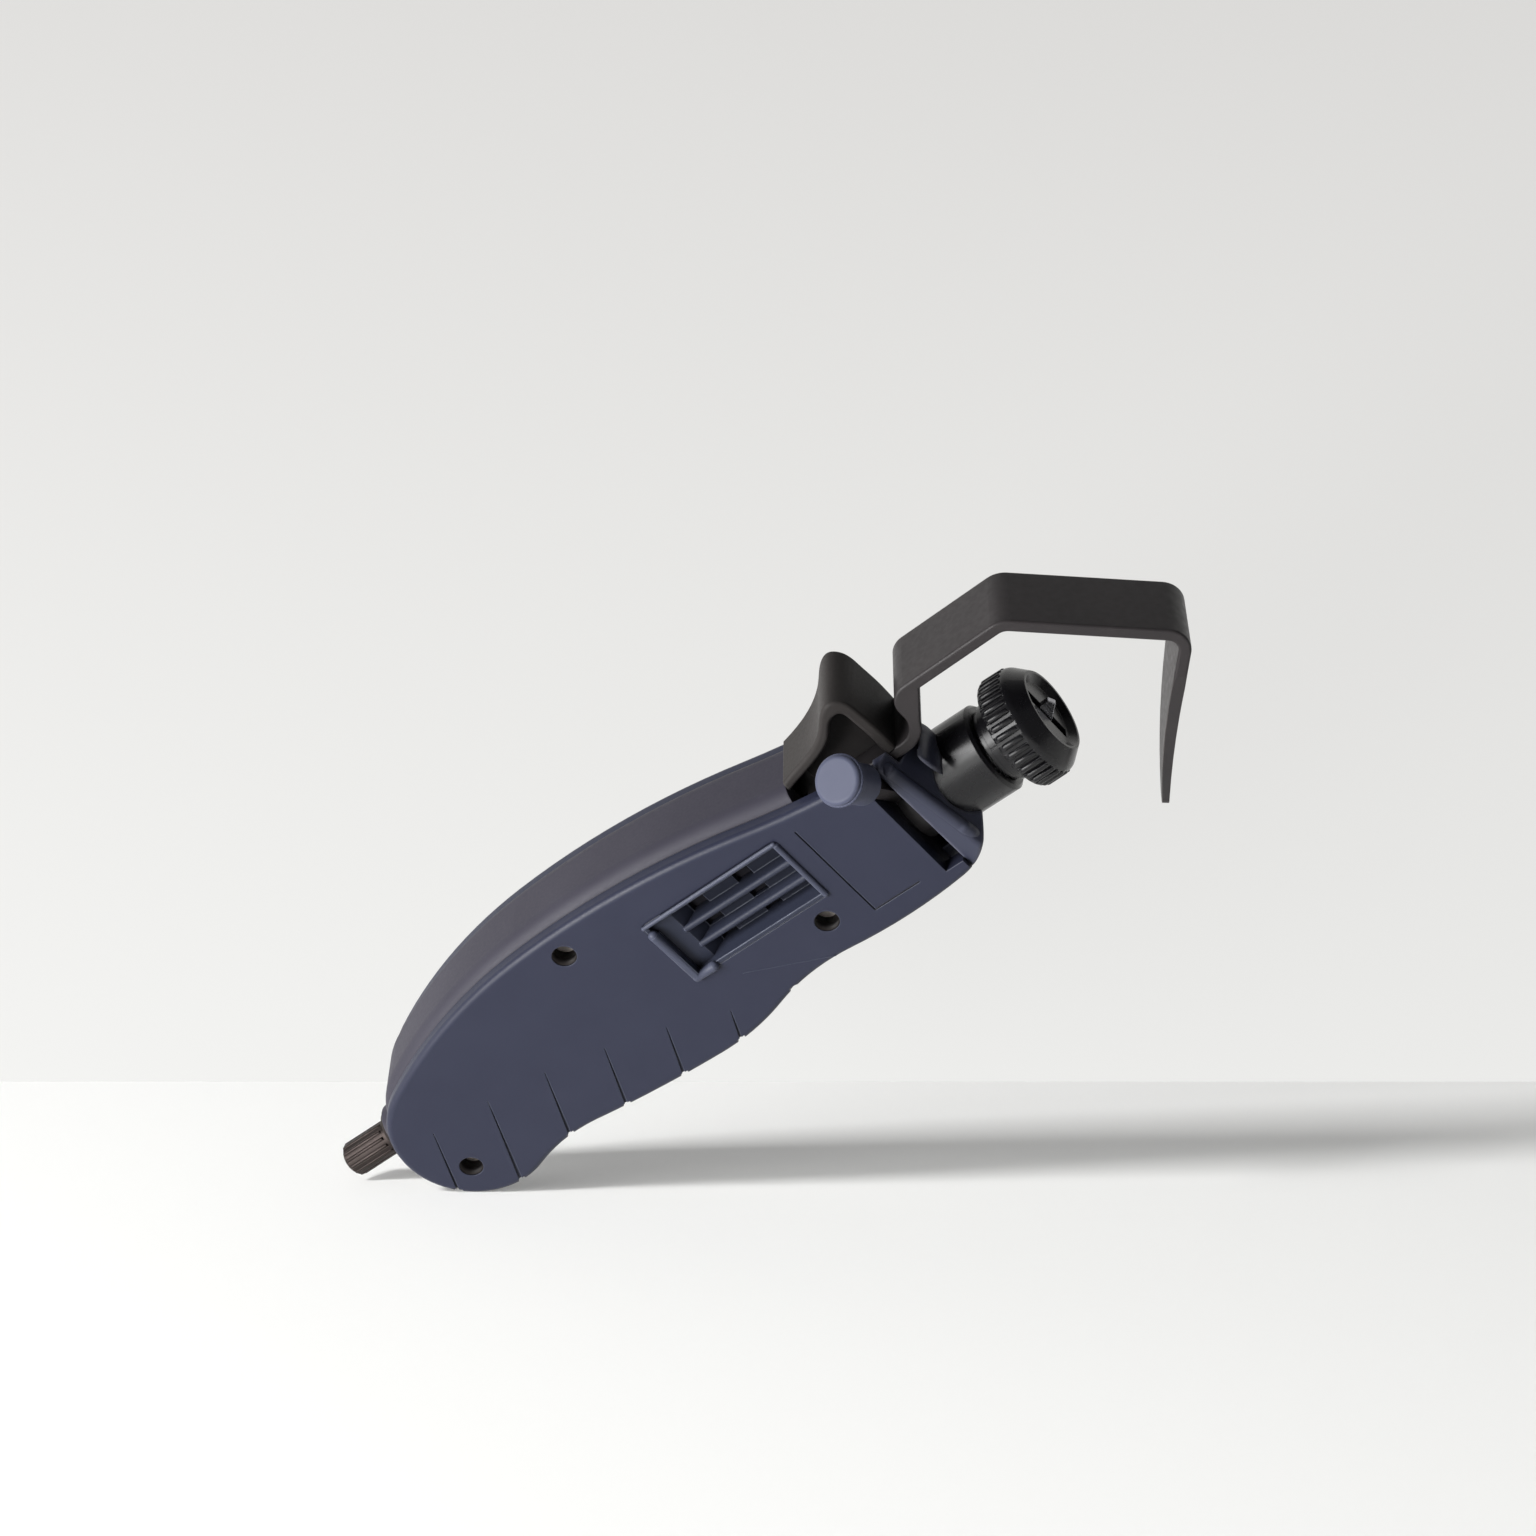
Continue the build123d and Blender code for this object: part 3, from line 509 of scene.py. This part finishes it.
@dataclass
class Trim:
    """A piece that is made here and carried by one body of the part."""

    name: str
    body: Body
    slot: str
    finish: Finish

    def start_tree(self, sizes: tuple[str, ...], counts: tuple[str, ...] = ()) -> Tree:
        """Starts a geometry tree with named inputs.

        Args:
            sizes: The inputs for lengths and angles.
            counts: The inputs for whole numbers.

        Returns:
            The tree, still without nodes.
        """
        tree = bpy.data.node_groups.new(self.name + "_tree", "GeometryNodeTree")
        tree.interface.new_socket("Geometry", in_out="INPUT", socket_type="NodeSocketGeometry")
        for names, kind in ((counts, "NodeSocketInt"), (sizes, "NodeSocketFloat")):
            for name in names:
                tree.interface.new_socket(name, in_out="INPUT", socket_type=kind)
        tree.interface.new_socket("Geometry", in_out="OUTPUT", socket_type="NodeSocketGeometry")
        return tree

    def end_tree(self, tree: Tree, shape: Socket, smooth: bool = True) -> None:
        """Ends a geometry tree in real faces with the piece's finish.

        Args:
            tree: The tree.
            shape: What it has made.
            smooth: Whether all faces are shaded as one round surface.
        """
        shape = add(tree, "GeometryNodeRealizeInstances", {"Geometry": shape}).outputs["Geometry"]
        if smooth:
            shape = add(tree, "GeometryNodeSetShadeSmooth", {"Geometry": shape}).outputs["Geometry"]
        dressed = {"Geometry": shape, "Material": self.finish.material()}
        shape = add(tree, "GeometryNodeSetMaterial", dressed).outputs["Geometry"]
        add(tree, "NodeGroupOutput", {"Geometry": shape})

    def from_tree(
        self,
        tree: Tree,
        sizes: dict[str, float],
        seeds: Sequence[Point],
        edges: Sequence[tuple[int, int]] = (),
    ) -> Piece:
        """Runs a geometry tree once and keeps its result as a plain mesh.

        Args:
            tree: The geometry tree.
            sizes: The tree's inputs by name.
            seeds: Points that the tree starts from, in metres.
            edges: Pairs of points that are joined by a line.

        Returns:
            The piece, at the origin and on its body.
        """
        start = bpy.data.meshes.new(self.name + "_start")
        start.from_pydata(seeds, edges, [])
        maker = bpy.data.objects.new(self.name + "_maker", start)
        bpy.context.scene.collection.objects.link(maker)
        modifier = maker.modifiers.new("shape", "NODES")
        modifier.node_group = tree
        for item in tree.interface.items_tree:
            if item.item_type == "SOCKET" and item.in_out == "INPUT" and item.name in sizes:
                modifier[item.identifier] = sizes[item.name]
        graph = bpy.context.evaluated_depsgraph_get()
        made = bpy.data.meshes.new_from_object(maker.evaluated_get(graph), depsgraph=graph)
        maker.modifiers.remove(modifier)
        bpy.data.objects.remove(maker)
        return self.set_on(made)

    def from_faces(self, points: Sequence[Point | Vector], faces: Sequence[tuple[int, ...]]) -> Piece:
        """Makes a closed mesh from its corners, with its faces turned outwards.

        Args:
            points: The corners, in metres.
            faces: The corners of each face.

        Returns:
            The piece, at the origin and on its body.
        """
        mesh = bpy.data.meshes.new(self.name)
        mesh.from_pydata(points, [], faces)
        shape = bmesh.new()
        shape.from_mesh(mesh)
        bmesh.ops.recalc_face_normals(shape, faces=shape.faces)
        shape.to_mesh(mesh)
        shape.free()
        mesh.materials.append(self.finish.material())
        return self.set_on(mesh)

    def set_on(self, mesh: bpy.types.Mesh) -> Piece:
        """Sets a finished mesh on the piece's body.

        Args:
            mesh: The mesh, in its place.

        Returns:
            The piece.
        """
        piece = bpy.data.objects.new(self.name, mesh)
        bpy.context.scene.collection.objects.link(piece)
        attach(piece, self.body.value)
        LOG.info("%s rides %s with the finish %s", self.name, self.body.value, self.finish.name)
        return piece


@dataclass
class RibRing(Trim):
    """Rounded ribs round the spindle axis, as on a knurled cap or a splined knob."""

    count: int
    radius: float
    x: Span
    width: float
    phase_deg: float
    segments: int = 12
    rings: int = 8

    def tree(self) -> Tree:
        """Builds the tree that sets one rib, a drawn-out ball, on each point of a circle.

        Returns:
            A geometry tree with the ring's sizes as its inputs.
        """
        tree = self.start_tree(("Radius", "Length", "Width", "Middle", "Height", "Phase"), ("Count",))
        sizes = add(tree, "NodeGroupInput").outputs
        half = add(tree, "ShaderNodeMath", {0: sizes["Width"], 1: 0.5}, operation="MULTIPLY").outputs[0]
        ball = {"Segments": self.segments, "Rings": self.rings, "Radius": half}
        round_end = add(tree, "GeometryNodeMeshUVSphere", ball).outputs["Mesh"]
        straight = {0: sizes["Length"], 1: sizes["Width"]}
        reach = add(tree, "ShaderNodeMath", straight, operation="SUBTRACT").outputs[0]
        place = add(tree, "ShaderNodeSeparateXYZ", {0: add(tree, "GeometryNodeInputPosition").outputs[0]})
        end = add(tree, "ShaderNodeMath", {0: place.outputs["Z"]}, operation="SIGN").outputs[0]
        drawn = add(tree, "ShaderNodeMath", {0: end, 1: reach}, operation="MULTIPLY").outputs[0]
        shift = add(tree, "ShaderNodeMath", {0: drawn, 1: 0.5}, operation="MULTIPLY").outputs[0]
        offset = add(tree, "ShaderNodeCombineXYZ", {"Z": shift}).outputs[0]
        rib = add(tree, "GeometryNodeSetPosition", {"Geometry": round_end, "Offset": offset})
        circle = add(tree, "GeometryNodeMeshCircle", {"Vertices": sizes["Count"], "Radius": sizes["Radius"]})
        spots = {"Points": circle.outputs["Mesh"], "Instance": rib.outputs["Geometry"]}
        ring = add(tree, "GeometryNodeInstanceOnPoints", spots).outputs["Instances"]
        turn = add(tree, "ShaderNodeCombineXYZ", {"Z": sizes["Phase"]}).outputs[0]
        turned = add(tree, "GeometryNodeTransform", {"Geometry": ring, "Rotation": turn})
        middle = add(tree, "ShaderNodeCombineXYZ", {"X": sizes["Middle"], "Z": sizes["Height"]}).outputs[0]
        upright = {
            "Geometry": turned.outputs["Geometry"],
            "Rotation": (0, math.pi / 2, 0),
            "Translation": middle,
        }
        self.end_tree(tree, add(tree, "GeometryNodeTransform", upright).outputs["Geometry"])
        return tree

    def build(self) -> Piece:
        """Makes the ribs and sets them on their body.

        Returns:
            The piece.
        """
        sizes = {
            "Count": self.count,
            "Radius": self.radius * MM,
            "Length": (self.x[1] - self.x[0]) * MM,
            "Width": self.width * MM,
            "Middle": sum(self.x) / 2 * MM,
            "Height": SPINDLE_Z * MM,
            "Phase": math.radians(self.phase_deg),
        }
        return self.from_tree(self.tree(), sizes, [(0, 0, 0)])


@dataclass
class WellLiners(Trim):
    """Thin brown fibre sleeves in the screw wells of the left cover, whose dark brown is partly the fibre and
    partly painted shade.
    """

    centres: tuple[Span, ...] = ((-9.6, 18.3), (31.2, -4.8), (-56.3, -8.3))
    radius: float = 2.17
    wall: float = 0.1
    z: Span = (18.3, 21.8)
    corners: int = 40

    def tree(self) -> Tree:
        """Builds the tree that sweeps a flat strip round a circle and sets it in each well.

        Returns:
            A geometry tree with the sleeve's sizes as its inputs.
        """
        tree = self.start_tree(("Radius", "Wall", "Height"))
        sizes = add(tree, "NodeGroupInput").outputs
        ring = {"Resolution": self.corners, "Radius": sizes["Radius"]}
        circle = add(tree, "GeometryNodeCurvePrimitiveCircle", ring).outputs["Curve"]
        flat = {"Width": sizes["Wall"], "Height": sizes["Height"]}
        strip = add(tree, "GeometryNodeCurvePrimitiveQuadrilateral", flat).outputs["Curve"]
        sleeve = add(tree, "GeometryNodeCurveToMesh", {"Curve": circle, "Profile Curve": strip})
        spots = {"Points": sizes["Geometry"], "Instance": sleeve.outputs["Mesh"]}
        wells = add(tree, "GeometryNodeInstanceOnPoints", spots).outputs["Instances"]
        self.end_tree(tree, wells, smooth=False)
        return tree

    def build(self) -> Piece:
        """Makes the sleeves and sets them on the handle.

        Returns:
            The piece.
        """
        height = self.z[1] - self.z[0]
        sizes = {"Radius": self.radius * MM, "Wall": self.wall * MM, "Height": height * MM}
        seeds = [(x * MM, y * MM, sum(self.z) / 2 * MM) for x, y in self.centres]
        return self.from_tree(self.tree(), sizes, seeds)


@dataclass
class RoundBead(Trim):
    """A half-sunk round bead along an edge, a rib or a rim."""

    radius: float
    runs: tuple[tuple[Point, ...], ...]   # a run that comes back to its first point is a ring
    segments: int = 20
    rings: int = 12

    def tree(self) -> Tree:
        """Builds the tree that sweeps a circle along each run and sets a ball on each of its points.

        Returns:
            A geometry tree with the bead's radius as its input.
        """
        tree = self.start_tree(("Radius",))
        sizes = add(tree, "NodeGroupInput").outputs
        run = add(tree, "GeometryNodeMeshToCurve", {"Mesh": sizes["Geometry"]}).outputs["Curve"]
        ring = {"Resolution": self.segments, "Radius": sizes["Radius"]}
        circle = add(tree, "GeometryNodeCurvePrimitiveCircle", ring).outputs["Curve"]
        sweep = {"Curve": run, "Profile Curve": circle, "Fill Caps": True}
        ball = {"Segments": self.segments, "Rings": self.rings, "Radius": sizes["Radius"]}
        round_end = add(tree, "GeometryNodeMeshUVSphere", ball).outputs["Mesh"]
        spots = {"Points": sizes["Geometry"], "Instance": round_end}
        both = add(tree, "GeometryNodeJoinGeometry")
        tree.links.new(add(tree, "GeometryNodeCurveToMesh", sweep).outputs["Mesh"], both.inputs["Geometry"])
        ends = add(tree, "GeometryNodeInstanceOnPoints", spots).outputs["Instances"]
        tree.links.new(ends, both.inputs["Geometry"])
        self.end_tree(tree, both.outputs["Geometry"])
        return tree

    def build(self) -> Piece:
        """Makes the bead and sets it on its body.

        Returns:
            The piece.
        """
        seeds, edges = [], []
        for run in self.runs:
            first = len(seeds)
            ring = run[0] == run[-1]
            seeds += [tuple(c * MM for c in point) for point in (run[:-1] if ring else run)]
            edges += [(i, i + 1) for i in range(first, len(seeds) - 1)]
            if ring:
                edges.append((len(seeds) - 1, first))
        return self.from_tree(self.tree(), {"Radius": self.radius * MM}, seeds, edges)


@dataclass
class RackTrim:
    """The rounded catch, rims and rib tops of the blade rack, and the flat ramp that the ribs run out on."""

    x: Span = (5.0, 35.4)
    y: Span = (-0.3, 14.8)
    wall: float = 0.9
    catch_width: float = 1.6
    catch_foot: float = 4.5     # length of the catch's foot along X
    catch_short: float = 2.72   # how far the catch stops short of the window's top
    catch_z: float = 22.3
    catch_radius: float = 0.98
    rim_z: float = 22.1
    rim_radius: float = 0.59
    top_z: float = 22.3
    top_radius: float = 0.42
    ribs_y: Span = (3.9, 8.2)
    rib_rear_x: float = 9.8
    rib_z: float = 19.75
    rib_radius: float = 0.65
    ramp_profile: tuple[Span, ...] = ((5.9, 20.9), (9.9, 20.0), (12.1, 17.0), (5.9, 17.0))   # X and Z
    ramp_lap: float = 0.05      # how far the ramp runs into the walls

    def bead(self, name: str, finish: Finish, radius: float, *runs: tuple[Point, ...]) -> None:
        """Makes one of the rack's beads."""
        RoundBead(name, Body.HANDLE, "rack_plastic", finish, radius, runs).build()

    def ramp(self) -> Piece:
        """Makes the ramp as a prism across the rack.

        Returns:
            The piece.
        """
        ends = (self.y[0] + self.wall - self.ramp_lap, self.y[1] - self.wall + self.ramp_lap)
        points = [(x * MM, y * MM, z * MM) for y in ends for x, z in self.ramp_profile]
        faces = [(0, 1, 2, 3), (7, 6, 5, 4), (1, 0, 4, 5), (2, 1, 5, 6), (3, 2, 6, 7), (0, 3, 7, 4)]
        return Trim("rack_ramp", Body.HANDLE, "rack_plastic", RACK).from_faces(points, faces)

    def build(self) -> None:
        """Makes the ramp and the beads on the catch, the two rims and the ribs."""
        self.ramp()
        half = self.wall / 2
        rear, front = self.x
        low, high = self.y
        catch_x, foot_y = rear + self.catch_width / 2, low + half
        stop = (catch_x, high - self.catch_short, self.catch_z)
        corner = (catch_x, foot_y, self.catch_z)
        foot = (rear + self.catch_foot, foot_y, self.catch_z)
        self.bead("rack_catch_bead", RACK_RIM_HIGHLIGHT, self.catch_radius, (stop, corner, foot))
        rim_x = front - half
        rim = ((rim_x, low + half, self.rim_z), (rim_x, high - self.wall, self.rim_z))
        self.bead("rack_rim_bead", RACK_RIM_HIGHLIGHT, self.rim_radius, rim)
        top = ((rear + half, high - half, self.top_z), (rim_x, high - half, self.top_z))
        self.bead("rack_top_bead", RACK_RIM_HIGHLIGHT, self.top_radius, top)
        ribs = [((self.rib_rear_x, y, self.rib_z), (front - self.wall, y, self.rib_z)) for y in self.ribs_y]
        self.bead("rack_rib_beads", RACK, self.rib_radius, *ribs)


@dataclass
class ButtonRim:
    """The rounded rim under the face of the lever button."""

    lever_x: float = 55.9
    lever_deg: float = 40.5   # from +Y towards +Z
    out: float = 29.25        # from the spindle axis
    ring: float = 4.2
    radius: float = 0.38
    points: int = 40

    def build(self) -> Piece:
        """Makes the rim as a ring round the button.

        Returns:
            The piece.
        """
        turn = math.radians(self.lever_deg)
        along = Vector((0, math.cos(turn), math.sin(turn)))
        across = Vector((0, -math.sin(turn), math.cos(turn)))
        centre = Vector((self.lever_x, 0, SPINDLE_Z)) + along * self.out
        steps = [2 * math.pi * i / self.points for i in range(self.points)]
        spokes = [math.cos(a) * Vector((1, 0, 0)) + math.sin(a) * across for a in steps]
        around = [tuple(centre + self.ring * spoke) for spoke in spokes]
        run = (*around, around[0])
        return RoundBead("button_rim", Body.HEAD, "blue_button", LIT_SLATE_BUTTON, self.radius, (run,)).build()


@dataclass
class NoseCrest:
    """The full round along the nose's ridge."""

    ridge_x: float = 60.9   # where the ridge crosses the spindle axis
    lean: float = 0.14      # how far the ridge moves back for each millimetre towards the thumb side
    radius: float = 1.3
    places: tuple[Point, ...] = (   # X from the ridge, Y and Z; the lower end sinks into the nose
        (0.25, 13.5, 20.7),
        (0.25, -4.4, 20.7),
        (0.15, -6.0, 20.45),
        (-0.1, -7.2, 19.9),
        (-0.5, -7.9, 19.0),
    )

    def build(self) -> Piece:
        """Makes the round as a bead along the ridge."""
        run = tuple((self.ridge_x + x - self.lean * y, y, z) for x, y, z in self.places)
        return RoundBead("nose_crest", Body.HANDLE, "blue_cover", LIT_SLATE_NOSE, self.radius, (run,)).build()


@dataclass
class MouldLine(Trim):
    """The faint straight witness line that the mould left across the left cover."""

    start: Span = (12.1, -4.4)
    end: Span = (27.6, -11.8)
    width: float = 0.28
    height: float = 0.06
    cover_z: float = 22.0
    hip: float = 0.02   # share of the length over which each end slopes

    def build(self) -> Piece:
        """Makes the line as a low roof along its length.

        Returns:
            The piece.
        """
        a, b = Vector((*self.start, self.cover_z)), Vector((*self.end, self.cover_z))
        side = (b - a).normalized().cross(Vector((0, 0, 1))) * self.width / 2
        rise = Vector((0, 0, self.height))
        slope = (b - a) * self.hip
        eaves = [a + side - rise, b + side - rise, b - side - rise, a - side - rise]
        ridge = [a + slope + rise, b - slope + rise]
        points = [point * MM for point in eaves + ridge]
        faces = [(0, 1, 5, 4), (2, 3, 4, 5), (1, 2, 5), (3, 0, 4), (3, 2, 1, 0)]
        return self.from_faces(points, faces)


@dataclass(frozen=True)
class BacklitPaper:
    """White paper lit from behind: a slow change of tone one way, and shadows that its own glow thins."""

    name: str
    near_tint: str
    far_tint: str
    glow: float
    bounce: str = "#8c8c8c"   # what the tool gets back, so that the white paper adds little light to it

    def material(self, along: Vector, span: Span) -> bpy.types.Material:
        """Builds the paper, which is clear from behind so that no view is shut off.

        Args:
            along: The direction in which the tone changes.
            span: Where the change starts and ends, in millimetres.

        Returns:
            The paper's material.
        """
        paper = bpy.data.materials.new(self.name)
        paper.use_nodes = True
        tree = paper.node_tree
        tree.nodes.clear()
        place = add(tree, "ShaderNodeTexCoord").outputs["Object"]
        depth = add(tree, "ShaderNodeVectorMath", {0: place, 1: along}, operation="DOT_PRODUCT")
        ends = {"Value": depth.outputs["Value"], "From Min": span[0] * MM, "From Max": span[1] * MM}
        share = add(tree, "ShaderNodeMapRange", ends).outputs["Result"]
        tints = {"Factor": share, MIX_A: linear(self.near_tint), MIX_B: linear(self.far_tint)}
        tint = add(tree, "ShaderNodeMix", tints, data_type="RGBA").outputs[MIX_RESULT]
        path = add(tree, "ShaderNodeLightPath").outputs
        seen = path["Is Camera Ray"]
        for ray in ("Is Glossy Ray", "Is Transmission Ray"):
            seen = add(tree, "ShaderNodeMath", {0: seen, 1: path[ray]}, operation="MAXIMUM").outputs[0]
        tones = {"Factor": seen, MIX_A: linear(self.bounce), MIX_B: tint}
        shown = add(tree, "ShaderNodeMix", tones, data_type="RGBA").outputs[MIX_RESULT]
        matt = add(tree, "ShaderNodeBsdfDiffuse", {"Color": shown}).outputs["BSDF"]
        glow = add(tree, "ShaderNodeEmission", {"Color": tint}).outputs["Emission"]
        part = add(tree, "ShaderNodeMath", {0: seen, 1: self.glow}, operation="MULTIPLY").outputs[0]
        front = add(tree, "ShaderNodeMixShader", {0: part, 1: matt, 2: glow}).outputs["Shader"]
        clear = add(tree, "ShaderNodeBsdfTransparent").outputs["BSDF"]
        behind = add(tree, "ShaderNodeNewGeometry").outputs["Backfacing"]
        both = add(tree, "ShaderNodeMixShader", {0: behind, 1: front, 2: clear}).outputs["Shader"]
        add(tree, "ShaderNodeOutputMaterial", {"Surface": both})
        return paper


@dataclass(frozen=True)
class SoftBox:
    """A square lamp that faces the tool."""

    name: str
    distance: float
    side: float
    level: float   # the light on a surface that faces it, where 1 shows a colour as it is written

    def hang(self, towards: Vector, aim: Vector) -> bpy.types.Object:
        """Hangs the lamp.

        Args:
            towards: The direction from the tool to the lamp.
            aim: The point of the tool that it faces, in millimetres.

        Returns:
            The lamp.
        """
        lamp = bpy.data.lights.new(self.name, "AREA")
        lamp.size = self.side * MM
        lamp.energy = self.level * (math.pi * self.distance * MM) ** 2
        holder = bpy.data.objects.new(self.name, lamp)
        out = towards.normalized()
        holder.location = (aim + out * self.distance) * MM
        holder.rotation_mode = "QUATERNION"
        holder.rotation_quaternion = (-out).to_track_quat("-Z", "Y")
        bpy.context.scene.collection.objects.link(holder)
        return holder


FLOOR_PAPER = BacklitPaper("floor_paper", "#f8f8f6", "#f5f5f3", 0.23)
WALL_PAPER = BacklitPaper("wall_paper", "#f1f1ef", "#dfdedc", 0.86)
KEY = SoftBox("key", 850.0, 480.0, 1.12)
FILL = SoftBox("fill", 900.0, 220.0, 0.3)
FLOOR_LIGHT = SoftBox("floor_light", 2500.0, 420.0, 1.23)


@dataclass
class Studio:
    """The paper floor and wall, the soft boxes and the camera that sees the tool as the photograph does.

    The tool stands on its butt there, so the floor is tilted in the part's own frame.
    """

    camera_at: Point = (275.74, 296.41, 501.46)
    right: Point = (0.7685, -0.6397, -0.0110)
    up: Point = (0.5093, 0.6219, -0.5949)
    back: Point = (0.3881, 0.4510, 0.8037)
    lens: float = 82.83
    sensor: float = 36.0
    clip: float = 10.0
    aim: Point = (15.0, 0.0, 10.0)
    tilt_deg: float = 6.0        # how far the camera looks down on the floor
    wall_behind: float = 112.8   # from the part's origin to the wall
    reach: float = 1200.0        # half the width of the paper
    wall_height: float = 420.0
    floor_fade: float = 400.0    # from the part's origin to where the floor's tone has changed
    wall_fade: float = 230.0     # height at which the wall's tone has changed
    key_from: Point = (-0.433, 0.721, 0.55)
    fill_from: Point = (-0.36, 0.52, 0.775)
    floor_light_from: Point = (-1.2, 1.0, 1.05)   # along the picture's right, floor_up and wall_out
    air: float = 0.14
    air_seen: float = 0.85
    air_tint: str = "#f7f7f8"

    @property
    def floor_up(self) -> Vector:
        """The direction out of the floor."""
        tilt = math.radians(self.tilt_deg)
        return math.cos(tilt) * Vector(self.up) + math.sin(tilt) * Vector(self.back)

    @property
    def wall_out(self) -> Vector:
        """The direction out of the wall, along the floor towards the camera."""
        tilt = math.radians(self.tilt_deg)
        return math.cos(tilt) * Vector(self.back) - math.sin(tilt) * Vector(self.up)

    def build(self, solids: list[Piece]) -> None:
        """Sets up the whole studio: a large key above, a small weak fill on the left and dim air.

        Args:
            solids: The part's solids, which the floor is brought up to.
        """
        self.make_camera()
        floor = self.make_backdrop(solids)
        self.make_world()
        aim = Vector(self.aim)
        KEY.hang(Vector(self.key_from), aim)
        FILL.hang(Vector(self.fill_from), aim)
        across, up, out = self.floor_light_from
        over = up * self.floor_up + out * self.wall_out + across * Vector(self.right)
        lit = bpy.data.collections.new("lit_by_floor_light")
        lit.objects.link(floor)
        FLOOR_LIGHT.hang(over, aim).light_linking.receiver_collection = lit

    def make_camera(self) -> None:
        """Places the camera where the photograph was taken from."""
        lens = bpy.data.cameras.new("photo_camera")
        lens.lens = self.lens
        lens.sensor_width = self.sensor
        lens.clip_start = self.clip * MM
        camera = bpy.data.objects.new("photo_camera", lens)
        turn = Matrix((self.right, self.up, self.back)).transposed()
        camera.matrix_world = Matrix.Translation(Vector(self.camera_at) * MM) @ turn.to_4x4()
        bpy.context.scene.collection.objects.link(camera)
        bpy.context.scene.camera = camera

    def make_backdrop(self, solids: list[Piece]) -> bpy.types.Object:
        """Stands the paper under and behind the tool.

        Args:
            solids: The part's solids, whose lowest point the floor touches.

        Returns:
            The floor.
        """
        up, out = self.floor_up, self.wall_out
        points = (solid.matrix_world @ point.co for solid in solids for point in solid.data.vertices)
        level = min(up.dot(point) for point in points)
        corner = up * level - out * self.wall_behind * MM
        wall_paper = WALL_PAPER.material(up, (level / MM, level / MM + self.wall_fade))
        floor_paper = FLOOR_PAPER.material(out, (-self.wall_behind, self.floor_fade))
        self.make_paper("wall", corner + up * self.wall_height * MM, corner, wall_paper)
        return self.make_paper("floor", corner, corner + out * self.reach * MM, floor_paper)

    def make_paper(self, name: str, far: Vector, near: Vector, paper: bpy.types.Material) -> bpy.types.Object:
        """Lays one sheet between two edges; it casts no shadow, so the lamps shine past it.

        Args:
            name: The sheet's name.
            far: The middle of its upper or rear edge.
            near: The middle of its lower or front edge.
            paper: Its material.

        Returns:
            The sheet.
        """
        half = Vector(self.right) * self.reach * MM
        mesh = bpy.data.meshes.new(name)
        mesh.from_pydata([near - half, near + half, far + half, far - half], [], [(0, 1, 2, 3)])
        mesh.materials.append(paper)
        sheet = bpy.data.objects.new(name, mesh)
        sheet.visible_shadow = False
        bpy.context.scene.collection.objects.link(sheet)
        return sheet

    def make_world(self) -> None:
        """Fills the room with dim even light, which the camera sees as white."""
        world = bpy.data.worlds.new("room")
        world.use_nodes = True
        tree = world.node_tree
        tree.nodes.clear()
        seen = add(tree, "ShaderNodeLightPath").outputs["Is Camera Ray"]
        ends = {"Value": seen, "To Min": self.air, "To Max": self.air_seen}
        level = add(tree, "ShaderNodeMapRange", ends).outputs["Result"]
        room = add(tree, "ShaderNodeBackground", {"Color": linear(self.air_tint), "Strength": level})
        add(tree, "ShaderNodeOutputWorld", {"Surface": room.outputs["Background"]})
        bpy.context.scene.world = world


def main() -> None:
    """Loads the part, dresses it and sets up the studio."""
    logging.basicConfig(level=logging.INFO, format="%(message)s")
    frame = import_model()
    dress_nodes(frame["nodes"])
    RibRing(
        "knob_ribs", Body.HEAD, "black_gloss", GLOSS_BLACK,
        count=36, radius=10.0, x=(76.6, 81.2), width=1.25, phase_deg=5.0,
    ).build()
    RibRing(
        "tail_ribs", Body.DEPTH, "tail_metal", TAIL,
        count=14, radius=3.05, x=(-79.7, -70.2), width=0.8, phase_deg=12.86,
    ).build()
    WellLiners("well_liners", Body.HANDLE, "dark_fasteners", SHADED_FIBRE).build()
    RackTrim().build()
    ButtonRim().build()
    NoseCrest().build()
    MouldLine("mould_line", Body.HANDLE, "blue_cover", SLATE).build()
    Studio().build(list(frame["nodes"].values()))
    bpy.context.scene.view_settings.view_transform = "Standard"


if __name__ == "__main__":
    main()
